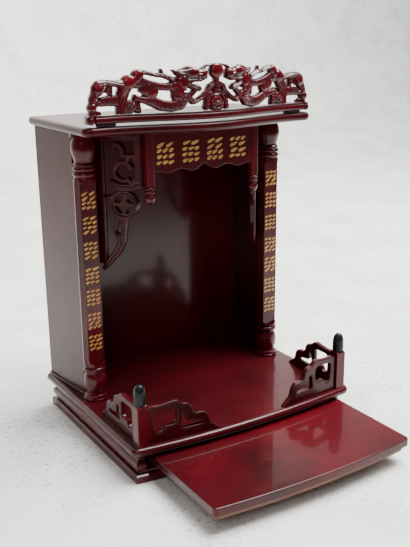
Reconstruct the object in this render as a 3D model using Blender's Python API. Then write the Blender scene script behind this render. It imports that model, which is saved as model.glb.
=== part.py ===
import math

import bmesh
import bpy
import numpy as np
from mathutils import Vector
from mathutils.geometry import delaunay_2d_cdt

for leftover in list(bpy.data.objects):
    bpy.data.objects.remove(leftover, do_unlink=True)

# Overall sizes, in metres
gap = 0.0003
deckHalfWidth = 0.1735
deckBack = 0.119
deckFrontCorner = 0.1665
deckBow = 0.012
deckTop = 0.050
deckThickness = 0.0117
deckCornerRadius = 0.011

deckOverhangSide = 0.0055
deckOverhangBack = 0.0035
deckOverhangFront = 0.006
plinthRailWidth = 0.0145
plinthBackWidth = 0.0175
plinthHalfWidth = deckHalfWidth - deckOverhangSide
plinthBack = deckBack - deckOverhangBack
plinthFrontCorner = deckFrontCorner - deckOverhangFront
plinthInnerHalfWidth = plinthHalfWidth - plinthRailWidth
plinthInnerBack = plinthBack - plinthBackWidth
plinthInnerFront = plinthFrontCorner - plinthRailWidth
plinthHeight = deckTop - deckThickness - gap

topUnderside = 0.417
topThickness = 0.0116
topInset = 0.0015
topOverhang = 0.0045
topHalfWidth = deckHalfWidth - topInset
topBack = deckBack + topOverhang
topFlank = 0.068
topBow = 0.026
topBowReach = 0.150
topCornerRadius = 0.012
low = deckTop + gap
high = topUnderside - gap

columnInset = 0.0275
columnX = deckHalfWidth - columnInset
ringRadius = 0.0157
shaftRadius = 0.0152
frontFlatDepth = 0.0085
sideFlatDepth = 0.0138

panelThickness = 0.010
panelInset = 0.0065
panelSplay = 0.0114
panelBackInset = 0.005
panelBackX = deckHalfWidth - panelInset
panelFrontX = panelBackX - panelSplay
panelBackY = deckBack - panelBackInset
panelFrontY = 0.0162
footHeight = 0.003
footReach = 0.0028
backRecess = 0.0045
backThickness = 0.008
backFace = panelBackY - backRecess - backThickness

pendantInset = 0.0655
pendantX = columnX - pendantInset
pendantY = 0.054
pendantSide = 0.0108
pendantDrop = 0.0917
pendantSquareDrop = 0.0687
pendantBottom = high - pendantDrop
pendantSquareBottom = high - pendantSquareDrop
valanceThickness = 0.008
valanceDrop = 0.0512
valanceEdge = high - valanceDrop

bracketThickness = 0.008
bracketRailDepth = 0.0104
bracketStile = 0.0153
coinRadius = 0.0183
coinOpening = 0.0124

padHeight = 0.0029
padLength = 0.023
padDepth = 0.009
padInset = 0.0245
crownRailHeight = 0.0102
crownRailDepth = 0.0165
crownRailInset = 0.0065
crownRailHalf = topHalfWidth - crownRailInset
padX = crownRailHalf - padInset
crownHeight = 0.0572
crownSetback = 0.0012
crownDepth = 0.0120
crownEdgeDepth = 0.0030

postInset = 0.0162
postSetback = 0.0106
postX = deckHalfWidth - postInset
postY = deckFrontCorner - postSetback
postSide = 0.015
postHeight = 0.0545
finialRadius = 0.0077
finialHeight = 0.0255
wingThickness = 0.007
wingHeight = 0.0515
wingLength = 0.108
wingBarStart = 0.0475
wingBarEnd = 0.0530
wingTurn = math.radians(6.4958)

trayClearance = 0.0045
trayPlay = 0.0035
trayTravel = 0.1346
trayFlush = 0.0006
trayBackPlay = 0.0046
trayHeadroom = 0.0030
trayRunGap = 0.0005
trayLacquer = 0.0105
trayWood = 0.0078
trayWoodInset = 0.0055
trayHalfWidth = plinthInnerHalfWidth - trayClearance
trayFrontCorner = deckFrontCorner - trayFlush + trayTravel
trayLength = deckFrontCorner - trayFlush + plinthInnerBack - trayBackPlay
trayTop = plinthHeight - trayHeadroom
slotBottom = trayTop - trayLacquer - trayWood - trayRunGap
baseBoardBottom = 0.007
baseBoardSetback = 0.0018

# The origin is the middle of the whole outline at rest, on the surface that the plinth stands on
frontReach = trayFrontCorner + deckBow
originY = (frontReach - topBack) / 2

# Finishes
lacquer = (0.165, 0.006, 0.010)
lacquerDark = (0.115, 0.006, 0.010)
padBlack = (0.012, 0.012, 0.013)
finialGreen = (0.016, 0.024, 0.024)
rawWood = (0.26, 0.105, 0.045)


def finish(name, colour, roughness, metallic=0.0):
    made = bpy.data.materials.new(name)
    made.use_nodes = True
    shader = made.node_tree.nodes["Principled BSDF"]
    shader.inputs["Base Color"].default_value = (*colour, 1)
    shader.inputs["Roughness"].default_value = roughness
    shader.inputs["Metallic"].default_value = metallic
    return made


def solid(name, points, faces, colour, roughness=0.22, smooth=False, location=(0, 0, 0)):
    """One closed body from points in cabinet coordinates, placed about its own location."""
    mesh = bpy.data.meshes.new(name)
    local = [tuple(np.array(p, float) - np.array(location, float)) for p in points]
    mesh.from_pydata(local, [], [tuple(int(i) for i in face) for face in faces])
    shaped = bmesh.new()
    shaped.from_mesh(mesh)
    bmesh.ops.remove_doubles(shaped, verts=shaped.verts, dist=0.000002)
    bmesh.ops.recalc_face_normals(shaped, faces=shaped.faces)
    if shaped.calc_volume(signed=True) < 0:
        bmesh.ops.reverse_faces(shaped, faces=shaped.faces)
    shaped.to_mesh(mesh)
    shaped.free()
    for polygon in mesh.polygons:
        polygon.use_smooth = smooth
    made = bpy.data.objects.new(name, mesh)
    made.location = (location[0], location[1] + originY, location[2])
    bpy.context.collection.objects.link(made)
    if colour is not None:
        made.data.materials.append(finish(name + "_finish", colour, roughness))
    return made


def bell(x, reach):
    """One in the middle, falling smoothly to nothing at the reach on both sides."""
    return 0.5 * (1 + np.cos(np.pi * np.clip(np.abs(x) / reach, 0, 1)))


def deckFront(x, inset=0.0):
    return -(deckFrontCorner + deckBow * (1 - (x / deckHalfWidth) ** 2)) + inset


def topFront(x):
    return -(topFlank + topBow * bell(x, topBowReach))


def plan(half, back, front, frontRadius, backRadius, steps):
    """Plan outline with rounded corners and a shaped front edge, from the back right corner round."""
    points = []

    def corner(cx, cy, radius, start, count=4):
        for k in range(count + 1):
            angle = math.radians(start + 90 * k / count)
            points.append((cx + radius * math.cos(angle), cy + radius * math.sin(angle)))

    corner(half - backRadius, back - backRadius, backRadius, 0, 2)
    corner(-half + backRadius, back - backRadius, backRadius, 90, 2)
    edge = half - frontRadius
    corner(-edge, front(-edge) + frontRadius, frontRadius, 180)
    for k in range(1, steps):
        x = -edge + 2 * edge * k / steps
        points.append((x, front(x)))
    corner(edge, front(edge) + frontRadius, frontRadius, 270)
    return np.array(points)


def insetPlan(outline, distance):
    """The outline moved inwards by a distance along its own normals."""
    before = np.roll(outline, 1, axis=0)
    after = np.roll(outline, -1, axis=0)
    along = after - before
    along /= np.linalg.norm(along, axis=1)[:, None]
    return outline + distance * np.stack([-along[:, 1], along[:, 0]], axis=1)


def board(name, outline, low, profile, colour, roughness=0.2):
    """A board whose edge follows a profile of insets and rises above its underside."""
    points, faces = [], []
    count = len(outline)
    for inset, rise in profile:
        for x, y in insetPlan(outline, inset):
            points.append((x, y, low + rise))
    for level in range(len(profile) - 1):
        a = level * count
        for k in range(count):
            n = (k + 1) % count
            faces.append((a + k, a + n, a + count + n, a + count + k))
    faces.append(tuple(range(count))[::-1])
    faces.append(tuple(range((len(profile) - 1) * count, len(profile) * count)))
    return solid(name, points, faces, colour, roughness)


def turned(name, profile, centre, segments, colour, roughness=0.2):
    """A turned piece from radii and heights, bottom to top, with flat ends."""
    points, faces = [], []
    for radius, height in profile:
        for k in range(segments):
            angle = 2 * math.pi * (k + 0.5) / segments
            x, y = centre[0] + radius * math.cos(angle), centre[1] + radius * math.sin(angle)
            points.append((x, y, height))
    for level in range(len(profile) - 1):
        a = level * segments
        for k in range(segments):
            n = (k + 1) % segments
            faces.append((a + k, a + n, a + segments + n, a + segments + k))
    faces.append(tuple(range(segments))[::-1])
    faces.append(tuple(range((len(profile) - 1) * segments, len(profile) * segments)))
    return solid(name, points, faces, colour, roughness, True, (centre[0], centre[1], profile[0][1]))


def prism(name, outline, low, high, colour, roughness=0.22):
    """A straight block over a plan outline."""
    count = len(outline)
    points = [(x, y, low) for x, y in outline] + [(x, y, high) for x, y in outline]
    faces = [(k, (k + 1) % count, count + (k + 1) % count, count + k) for k in range(count)]
    faces += [tuple(range(count))[::-1], tuple(range(count, 2 * count))]
    return solid(name, points, faces, colour, roughness)


def cut(made, cutter, operation="DIFFERENCE"):
    cutter.hide_render = True
    cutter.display_type = "WIRE"
    modifier = made.modifiers.new(cutter.name, "BOOLEAN")
    modifier.operation = operation
    modifier.solver = "EXACT"
    modifier.object = cutter


# Flat shapes worked out as distances, below zero inside the wood
def stroke(x, z, path):
    """A tapering stroke through points given as across, up and half width, in millimetres."""
    found = np.full(x.shape, 1e3)
    for (ax, az, ar), (bx, bz, br) in zip(path, path[1:]):
        length = max((bx - ax) ** 2 + (bz - az) ** 2, 1e-9)
        t = np.clip(((x - ax) * (bx - ax) + (z - az) * (bz - az)) / length, 0, 1)
        near = np.hypot(x - ax - t * (bx - ax), z - az - t * (bz - az)) - (ar + t * (br - ar))
        found = np.minimum(found, near)
    return found


def disc(x, z, cx, cz, radius):
    return np.hypot(x - cx, z - cz) - radius


def slab(x, z, left, right, low, high, radius=0.0):
    dx = np.maximum(left + radius - x, x - right + radius)
    dz = np.maximum(low + radius - z, z - high + radius)
    outside = np.hypot(np.maximum(dx, 0), np.maximum(dz, 0))
    return outside + np.minimum(np.maximum(dx, dz), 0) - radius


def arc(cx, cz, radius, start, end, width, count=14):
    """Points of a round stroke for the stroke function."""
    angles = np.radians(np.linspace(start, end, count))
    return [(cx + radius * math.cos(a), cz + radius * math.sin(a), width) for a in angles]


def blend(a, b, softness):
    """Union of two shapes with a rounded inner corner."""
    h = np.clip(0.5 + 0.5 * (b - a) / softness, 0, 1)
    return b + (a - b) * h - softness * h * (1 - h)


def tracedLoops(field, xs, zs):
    """Closed loops along the places where the field passes through zero."""
    inside = field < 0
    links = {}

    def join(first, second):
        links.setdefault(first, []).append(second)
        links.setdefault(second, []).append(first)

    mixed = np.argwhere(
        ~(
            (inside[:-1, :-1] == inside[:-1, 1:])
            & (inside[:-1, :-1] == inside[1:, :-1])
            & (inside[:-1, :-1] == inside[1:, 1:])
        )
    )
    for r, c in mixed:
        r, c = int(r), int(c)
        low, right, high, left = (r, c, 0), (r, c + 1, 1), (r + 1, c, 0), (r, c, 1)
        ends = []
        if inside[r, c] != inside[r, c + 1]:
            ends.append(low)
        if inside[r, c + 1] != inside[r + 1, c + 1]:
            ends.append(right)
        if inside[r + 1, c] != inside[r + 1, c + 1]:
            ends.append(high)
        if inside[r, c] != inside[r + 1, c]:
            ends.append(left)
        if len(ends) == 2:
            join(ends[0], ends[1])
        elif (field[r : r + 2, c : c + 2].mean() < 0) == inside[r, c]:
            join(low, right)
            join(high, left)
        else:
            join(low, left)
            join(right, high)

    def place(edge):
        r, c, upright = edge
        r2, c2 = (r + 1, c) if upright else (r, c + 1)
        t = field[r, c] / (field[r, c] - field[r2, c2])
        t = min(max(t, 0.04), 0.96)
        return xs[c] + t * (xs[c2] - xs[c]), zs[r] + t * (zs[r2] - zs[r])

    loops, seen = [], set()
    for start in links:
        if start in seen:
            continue
        loop, here, came = [], start, None
        while here not in seen:
            seen.add(here)
            loop.append(place(here))
            forward = [other for other in links[here] if other != came and other not in seen]
            if not forward:
                break
            came, here = here, forward[0]
        if len(loop) > 5:
            loops.append(np.array(loop))
    return loops


def thinned(loop, tolerance):
    """A closed loop with the points left out that lie within the tolerance of their neighbours' chord."""
    far = int(np.argmax(np.linalg.norm(loop - loop[0], axis=1)))
    keep = {0, far}
    stack = [(0, far), (far, len(loop))]
    ring = np.vstack([loop, loop[:1]])
    while stack:
        a, b = stack.pop()
        if b - a < 2:
            continue
        start, end = ring[a], ring[b]
        chord = end - start
        size = max(np.linalg.norm(chord), 1e-9)
        between = ring[a + 1 : b] - start
        away = np.abs(between[:, 0] * chord[1] - between[:, 1] * chord[0]) / size
        worst = int(np.argmax(away))
        if away[worst] > tolerance:
            keep.add(a + 1 + worst)
            stack += [(a, a + 1 + worst), (a + 1 + worst, b)]
    return loop[sorted(keep)]


def insideLoops(points, loops):
    """Whether each point lies in the wood, counting the loops crossed on the way out."""
    inside = np.zeros(len(points), bool)
    for loop in loops:
        nxt = np.roll(loop, -1, axis=0)
        for (ax, az), (bx, bz) in zip(loop, nxt):
            spans = (az > points[:, 1]) != (bz > points[:, 1])
            across = ax + (points[:, 1] - az) * (bx - ax) / ((bz - az) if bz != az else 1e-12)
            inside ^= spans & (points[:, 0] < across)
    return inside


def faceted(loops, extra):
    """Points and triangles that fill the loops, with extra points inside them."""
    flat, edges = [], []
    for loop in loops:
        first = len(flat)
        flat += [Vector((float(a), float(b))) for a, b in loop]
        edges += [(first + k, first + (k + 1) % len(loop)) for k in range(len(loop))]
    flat += [Vector((float(a), float(b))) for a, b in extra]
    out, _, triangles, _, _, _ = delaunay_2d_cdt(flat, edges, [], 0, 1e-7)
    where = np.array([(v.x, v.y) for v in out])
    triangles = np.array([t for t in triangles if len(t) == 3])
    middle = where[triangles].mean(axis=1)
    return where, triangles[insideLoops(middle, loops)]


def carved(name, shape, bounds, place, colour, relief, spacing, tolerance):
    """A pierced piece: shape gives distances in millimetres, place puts across, depth and up."""
    left, right, low, high = bounds
    cell = 1.0
    xs = np.arange(left - 2 * cell, right + 2.5 * cell, cell)
    zs = np.arange(low - 2 * cell, high + 2.5 * cell, cell)
    gridX, gridZ = np.meshgrid(xs, zs)
    field = shape(gridX, gridZ)
    field[0, :] = field[-1, :] = np.maximum(field[0, :].max(), 1)
    field[:, 0] = field[:, -1] = np.maximum(field[:, 0].max(), 1)
    loops = [thinned(loop, tolerance) for loop in tracedLoops(field, xs, zs)]
    loops = [loop for loop in loops if len(loop) > 2]
    ex, ez = np.meshgrid(np.arange(left, right, spacing), np.arange(low, high, spacing))
    deep = shape(ex, ez) < -0.45 * spacing
    extra = np.stack([ex[deep], ez[deep]], axis=1)
    where, front = faceted(loops, extra)
    plain, back = faceted(loops, np.zeros((0, 2)))
    points = [place(x, d, z) for (x, z), d in zip(where, relief(where[:, 0], where[:, 1], shape))]
    base = len(points)
    points += [place(x, None, z) for x, z in plain]
    faces = [tuple(t) for t in front] + [tuple(base + t[::-1]) for t in back]
    # Walls run between the two sheets along each loop
    for loop in loops:
        for k in range(len(loop)):
            ends = []
            for a, b in (loop[k], loop[(k + 1) % len(loop)]):
                gaps = np.abs(plain[:, 0] - a) + np.abs(plain[:, 1] - b)
                frontGaps = np.abs(where[:, 0] - a) + np.abs(where[:, 1] - b)
                ends.append((int(np.argmin(frontGaps)), base + int(np.argmin(gaps))))
            (f0, b0), (f1, b1) = ends
            faces.append((f0, b0, b1, f1))
    return solid(name, points, faces, colour)


# Plinth: four moulded rails, mitred at the corners, from a moulding drawn 38 mm high
drawnProfile = [
    (0.0006, 0.0), (0.0, 0.0008), (0.0, 0.0095), (0.0018, 0.0110), (0.0058, 0.0114),
    (0.0062, 0.0134), (0.0038, 0.0148), (0.0022, 0.0180), (0.0018, 0.0220), (0.0030, 0.0258),
    (0.0058, 0.0282), (0.0066, 0.0312), (0.0078, 0.0320), (0.0078, 0.0380),
]
plinthProfile = [(inset, rise * plinthHeight / 0.0380) for inset, rise in drawnProfile]


def plinthFront(x):
    return -(plinthFrontCorner + deckBow * (1 - (x / plinthHalfWidth) ** 2))


def plinthRing(name):
    outer = [(plinthHalfWidth, plinthBack), (-plinthHalfWidth, plinthBack)]
    steps = 14
    for k in range(steps + 1):
        x = -plinthHalfWidth + 2 * plinthHalfWidth * k / steps
        outer.append((x, plinthFront(x)))
    outer = np.array(outer)
    inner = [(plinthInnerHalfWidth, plinthInnerBack), (-plinthInnerHalfWidth, plinthInnerBack)]
    for k in range(steps + 1):
        x = -plinthInnerHalfWidth + 2 * plinthInnerHalfWidth * k / steps
        inner.append((x, plinthFront(x) + plinthFrontCorner - plinthInnerFront))
    inner = np.array(inner)
    count = len(outer)
    points, faces = [], []
    for inset, rise in plinthProfile:
        for k, (x, y) in enumerate(outer):
            side = int(x > 0) - int(x < 0)
            onCorner = k in (0, 1, 2, count - 1)
            px = x - side * inset if onCorner else x * (1 - inset / plinthHalfWidth)
            py = y - inset if k in (0, 1) else y + inset
            points.append((px, py, rise))
    for rise in (plinthProfile[-1][1], plinthProfile[0][1]):
        for x, y in inner:
            points.append((x, y, rise))
    rings = len(plinthProfile) + 2
    for level in range(rings):
        a, b = level * count, (level + 1) % rings * count
        for k in range(count):
            n = (k + 1) % count
            faces.append((a + k, a + n, b + n, b + k))
    return solid(name, points, faces, lacquerDark, 0.25)


def wedge(name, side):
    """The plan region of one rail, bounded by the mitre lines less half a gap."""
    w, wi = plinthHalfWidth, plinthInnerHalfWidth
    depth = w - wi
    front, back = -plinthFrontCorner, plinthBack
    innerFront, innerBack = front + depth, back - depth
    half = gap * 0.7072
    far = 4 * depth
    if side == "front":
        outline = [
            (-wi + half, innerFront), (-w - far + half, front - far),
            (w + far - half, front - far), (wi - half, innerFront), (0.0, innerFront + 0.0005),
        ]
    elif side == "back":
        outline = [
            (wi - half, innerBack), (w + far - half, back + far),
            (-w - far + half, back + far), (-wi + half, innerBack),
        ]
    else:
        sign = -1 if side == "left" else 1
        outline = [
            (sign * wi, innerFront + half), (sign * (w + far), front - far + half),
            (sign * (w + far), back + far - half), (sign * wi, innerBack - half),
        ]
        outline.append((sign * (wi - 0.001), (innerFront + innerBack) / 2))
    return prism(name, outline, -0.01, plinthHeight + 0.012, None)


for side in ("front", "back", "left", "right"):
    rail = plinthRing("plinth_" + side)
    cut(rail, wedge("mitre_" + side, side), "INTERSECT")
    if side == "front":
        reach = plinthInnerHalfWidth
        ahead = -plinthFrontCorner - deckBow - plinthRailWidth
        slotPlan = [(-reach, ahead), (reach, ahead), (reach, 0.0), (-reach, 0.0)]
        cut(rail, prism("slot_cutter", slotPlan, slotBottom, plinthHeight + 0.012, None))

# Board inside the plinth that the tray runs on
inside = plinthInnerHalfWidth - gap
boardBack, boardFront = plinthInnerBack - gap, baseBoardSetback - plinthInnerFront
boardPlan = [(inside, boardBack), (-inside, boardBack), (-inside, boardFront), (inside, boardFront)]
prism("base_board", boardPlan, baseBoardBottom, slotBottom, rawWood, 0.6)

# Floor of the shrine and the board over it, both with a rounded nose
noseProfile = [
    (0.0042, 0.0), (0.0013, 0.0018), (0.0, 0.0052), (0.0006, 0.0084), (0.0028, 0.0108),
    (0.0066, deckThickness),
]
deckPlan = plan(deckHalfWidth, deckBack, deckFront, deckCornerRadius, 0.004, 12)
board("deck", deckPlan, deckTop - deckThickness, noseProfile, lacquer, 0.16)
topProfile = [
    (0.0040, 0.0), (0.0012, 0.0018), (0.0, 0.0052), (0.0006, 0.0086), (0.0026, 0.0108),
    (0.0060, topThickness),
]
topPlan = plan(topHalfWidth, topBack, topFront, topCornerRadius, 0.004, 22)
board("top_board", topPlan, topUnderside, topProfile, lacquer, 0.16)

# Side panels: each splays outwards to the back and has a thin foot strip outside
def sidePanel(name, sign):
    across = np.array([panelBackX - panelFrontX, panelBackY - panelFrontY])
    across /= np.linalg.norm(across)
    normal = np.array([across[1], -across[0]])
    front = np.array([panelFrontX, panelFrontY])
    back = np.array([panelBackX, panelBackY])
    frontIn, backIn = front - panelThickness * normal, back - panelThickness * normal
    frontOut, backOut = front + footReach * normal, back + footReach * normal
    frontSoft, backSoft = front + 0.7 * footReach * normal, back + 0.7 * footReach * normal
    foot = low + footHeight
    rings = [
        [frontIn, frontOut, backOut, backIn, low], [frontIn, frontOut, backOut, backIn, foot - 0.0006],
        [frontIn, frontSoft, backSoft, backIn, foot],
        [frontIn, front, back, backIn, foot + 0.0004], [frontIn, front, back, backIn, high],
    ]
    points, faces = [], []
    for ring in rings:
        for p in ring[:4]:
            points.append((sign * p[0], p[1], ring[4]))
    for level in range(len(rings) - 1):
        a = 4 * level
        for k in range(4):
            faces.append((a + k, a + (k + 1) % 4, a + 4 + (k + 1) % 4, a + 4 + k))
    faces += [(3, 2, 1, 0), tuple(4 * (len(rings) - 1) + k for k in range(4))]
    return solid(name, points, faces, lacquerDark, 0.14)


sidePanel("panel_left", -1)
sidePanel("panel_right", 1)

slope = (panelBackX - panelFrontX) / (panelBackY - panelFrontY)
innerShift = panelThickness * math.hypot(1, slope) + gap


def panelInside(y):
    return panelFrontX + slope * (y - panelFrontY) - innerShift


behind = backFace + backThickness
backOutline = [
    (panelInside(backFace), backFace), (panelInside(behind), behind),
    (-panelInside(behind), behind), (-panelInside(backFace), backFace),
]
prism("panel_back", backOutline, low, high, lacquerDark, 0.14)

# Columns: turned ends and a shaft with one wide and two narrow flats that end in arches
columnFoot = 0.0482
columnHead = 0.0567
abacusRadius = 0.0170
shaftLow, shaftHigh = low + columnFoot, high - columnHead
footTurning = [
    (0.0165, 0.0), (0.0172, 0.0008), (0.0172, 0.0025), (0.0160, 0.0031), (0.0164, 0.0049),
    (0.0158, 0.0069), (0.0132, 0.0081), (0.0134, 0.0107), (0.0158, 0.0217), (0.0157, 0.0287),
    (0.0132, 0.0389), (0.0152, 0.0417), (ringRadius, 0.0442), (0.0152, 0.0465),
]
headTurning = [
    (ringRadius, 0.0527), (0.0148, 0.0507), (0.0136, 0.0495), (ringRadius, 0.0461),
    (0.0148, 0.0439), (0.0134, 0.0427), (0.0148, 0.0411), (0.0126, 0.0383), (0.0128, 0.0357),
    (0.0160, 0.0237), (0.0161, 0.0182), (0.0138, 0.0077), (0.0138, 0.0063), (abacusRadius, 0.0057),
    (abacusRadius, 0.0),
]
shaftTurning = [
    (0.0140, shaftLow), (shaftRadius, shaftLow + 0.004),
    (shaftRadius, shaftHigh - 0.004), (0.0140, shaftHigh),
]
columnProfile = [(radius, low + rise) for radius, rise in footTurning] + shaftTurning
columnProfile += [(radius, high - drop) for radius, drop in headTurning]


def archCutter(name, sign, angle, depth, halfWidth, rise):
    """A block with arched ends that takes a flat off the shaft, facing the given direction."""
    arches = 6
    outline = []
    bottom, top = shaftLow + 0.0015, shaftHigh - 0.0015
    for k in range(arches + 1):
        turn = math.pi * k / arches
        outline.append((halfWidth * math.cos(turn), top - rise + rise * math.sin(turn)))
    for k in range(arches + 1):
        turn = math.pi * k / arches
        outline.append((-halfWidth * math.cos(turn), bottom + rise - rise * math.sin(turn)))
    facing = np.array([math.sin(angle), -math.cos(angle)])
    beside = np.array([math.cos(angle), math.sin(angle)])
    points = []
    for out in (depth, 0.03):
        for across, z in outline:
            spot = facing * out + beside * across
            points.append((sign * (columnX + spot[0]), spot[1], z))
    count = len(outline)
    faces = [(k, (k + 1) % count, count + (k + 1) % count, count + k) for k in range(count)]
    faces += [tuple(range(count))[::-1], tuple(range(count, 2 * count))]
    return solid(name, points, faces, None)


for label, sign in (("left", -1), ("right", 1)):
    column = turned("column_" + label, columnProfile, (sign * columnX, 0), 16, lacquer)
    cut(column, archCutter("front_flat_" + label, sign, 0.0, frontFlatDepth, 0.0128, 0.0105))
    for number, angle in ((1, math.radians(66)), (2, math.radians(-66))):
        name = f"side_flat_{label}_{number}"
        cut(column, archCutter(name, sign, angle, sideFlatDepth, 0.0060, 0.0080))

# Header between the pendants, with a waved lower edge
valanceHalf = pendantX - pendantSide / 2 - gap


def valanceLine(x):
    """Height of the lower edge: shallow waves with cusps between them."""
    wave = 0.0026 * np.cos(2 * np.pi * np.abs(x) / 0.036) * (1 - 0.35 * np.abs(x) / valanceHalf)
    return valanceEdge + wave + 0.0030 * bell(x, 0.014) - 0.0012 * (np.abs(x) / valanceHalf) ** 2


steps = 36
across = [-valanceHalf + 2 * valanceHalf * k / steps for k in range(steps + 1)]
frontY, backY = -pendantY - valanceThickness / 2, -pendantY + valanceThickness / 2
points, faces = [], []
for x in across:
    edge = float(valanceLine(x))
    points += [(x, frontY, high), (x, frontY, edge + 0.001), (x, frontY + 0.001, edge)]
    points += [(x, backY, edge), (x, backY, high)]
for k in range(steps):
    for m in range(5):
        a, b = 5 * k + m, 5 * k + (m + 1) % 5
        faces.append((a, b, b + 5, a + 5))
faces += [(0, 1, 2, 3, 4), tuple(5 * steps + m for m in range(5))[::-1]]
solid("valance", points, faces, lacquer)


# Pendants: square above, turned rings and a bulb below
def pendant(name, sign):
    profile = [
        (0.0015, pendantBottom), (0.0052, pendantBottom + 0.0016), (0.0068, pendantBottom + 0.0060),
        (0.0066, pendantBottom + 0.0100), (0.0048, pendantBottom + 0.0132), (0.0066, pendantBottom + 0.0150),
        (0.0066, pendantBottom + 0.0166), (0.0050, pendantBottom + 0.0180), (0.0066, pendantBottom + 0.0198),
        (0.0066, pendantBottom + 0.0212), (0.0050, pendantBottom + 0.0226),
    ]
    segments = 16
    centre = (sign * pendantX, -pendantY)
    points, faces = [], []
    for radius, height in profile:
        for k in range(segments):
            angle = 2 * math.pi * k / segments
            x, y = centre[0] + radius * math.cos(angle), centre[1] + radius * math.sin(angle)
            points.append((x, y, height))
    for level in (pendantSquareBottom, high):
        for k in range(segments):
            angle = 2 * math.pi * k / segments
            grow = pendantSide / 2 / max(abs(math.cos(angle)), abs(math.sin(angle)))
            x, y = centre[0] + grow * math.cos(angle), centre[1] + grow * math.sin(angle)
            points.append((x, y, level))
    rings = len(profile) + 2
    for level in range(rings - 1):
        a = level * segments
        for k in range(segments):
            n = (k + 1) % segments
            faces.append((a + k, a + n, a + segments + n, a + segments + k))
    faces.append(tuple(range(segments))[::-1])
    faces.append(tuple(range((rings - 1) * segments, rings * segments)))
    return solid(name, points, faces, lacquer, 0.2, False, (centre[0], centre[1], high))


pendant("pendant_left", -1)
pendant("pendant_right", 1)

# Pierced brackets from each column to its pendant, stretched from a drawing in millimetres
bracketSpan = math.hypot(columnX - pendantX, pendantY)
bracketPlay = 0.0004
# A bracket passes close behind its column and ends on the back of the pendant
bracketReach = abacusRadius + bracketThickness / 2 + bracketPlay
bracketTurn = math.atan2(pendantY, columnX - pendantX) + math.asin(bracketReach / bracketSpan)
bracketLength = math.sqrt(bracketSpan**2 - bracketReach**2)
farEdge = bracketLength - (pendantSide / 2 + gap * 1.4) / math.sin(bracketTurn)
bracketStart, bracketEnd, topLine = 9.3, 77.47, 416.7
bracketStretch = farEdge / (bracketEnd - bracketStart)
coinAcross, coinUp = 50.5, 323.2


def bracketShape(u, z):
    """Distances in the bracket's drawing: across from the column, and up."""
    rail = slab(u, z, bracketStart, bracketEnd, topLine - bracketRailDepth * 1000, topLine)
    stile = slab(u, z, bracketStart, bracketStart + bracketStile * 1000, 240, topLine)
    inner = slab(u, z, 67.5, bracketEnd, 347, topLine)
    wood = np.minimum(np.minimum(rail, stile), inner)
    hookPath = [
        (70, 386.5, 2.6), (50.5, 386.5, 2.6), (50.5, 395, 2.6), (47.5, 399.5, 2.4), (42, 401, 2.2),
        (38, 397.5, 2.0),
    ]
    scroll = stroke(u, z, arc(51, 366, 12, 28, 300, 2.5))
    curl = stroke(u, z, arc(61.5, 357.5, 4.6, 190, 340, 2.4) + [(70, 357, 2.6)])
    wood = np.minimum(wood, np.minimum(np.minimum(stroke(u, z, hookPath), scroll), curl))
    wood = np.minimum(wood, disc(u, z, 59.8, 371.5, 3.6))
    wood = np.minimum(wood, stroke(u, z, [(55, 377, 2.4), (57, 386, 2.4)]))
    sill = stroke(u, z, [(34.5, 352.5, 2.2), (45, 345.5, 4.2), (60, 345.5, 4.8), (73, 350, 4.6)])
    coin = disc(u, z, coinAcross, coinUp, coinRadius * 1000)
    wood = blend(wood, np.minimum(sill, coin), 1.5)
    web = stroke(u, z, [(22, 333, 2.0), (29.5, 330.5, 2.0), (36, 333, 2.4)])
    leafPath = [
        (45.5, 299.5, 8.2), (43.5, 287, 8.6), (45.5, 272, 5.2), (39, 258, 4.6), (29, 246, 4.2),
        (20.5, 234, 3.0),
    ]
    neck = stroke(u, z, [(50, 312, 8.5), (47, 300, 7.0)])
    wood = np.minimum(wood, np.minimum(np.minimum(web, stroke(u, z, leafPath)), neck))
    eye = disc(u, z, coinAcross, coinUp, coinOpening * 1000)
    boss = disc(u, z, coinAcross, coinUp, 6.4)
    for angle in (0, 90, 180, 270):
        turn = math.radians(angle)
        reach = coinOpening * 1000 + 1
        end = (coinAcross + reach * math.cos(turn), coinUp + reach * math.sin(turn), 3.4)
        boss = np.minimum(boss, stroke(u, z, [(coinAcross, coinUp, 2.4), end]))
    wood = np.maximum(wood, -np.maximum(eye, -boss))
    tear = stroke(u, z, [(43.5, 298.5, 2.4), (42.3, 287, 4.2)])
    wood = np.maximum(wood, -tear)
    wood = np.maximum(wood, bracketStart - u)
    wood = np.maximum(wood, u - bracketEnd)
    return np.maximum(wood, z - topLine)


def bracket(name, sign):
    cosine, sine = math.cos(bracketTurn), math.sin(bracketTurn)

    def place(u, depth, z):
        w = bracketThickness / 2 if depth is None else -bracketThickness / 2 + depth
        settle = min(max((u - 62) / (bracketEnd - 62), 0), 1)
        along = (u - bracketStart) * bracketStretch + w / math.tan(bracketTurn) * settle
        x = -pendantX - (bracketLength - along) * cosine + w * sine
        y = -pendantY + (bracketLength - along) * sine + w * cosine
        return (-sign * x, y, high - (topLine - z) / 1000)

    def relief(u, z, shape):
        return np.where(shape(u, z) < -0.3, 0.0, 0.0008)

    bounds = (bracketStart, bracketEnd, 229, topLine)
    return carved(name, bracketShape, bounds, place, lacquerDark, relief, 11.0, 0.26)


bracket("bracket_left", -1)
bracket("bracket_right", 1)

# Corner fences: a post with a finial and two pierced wings on each front corner
postLow = low


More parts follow.
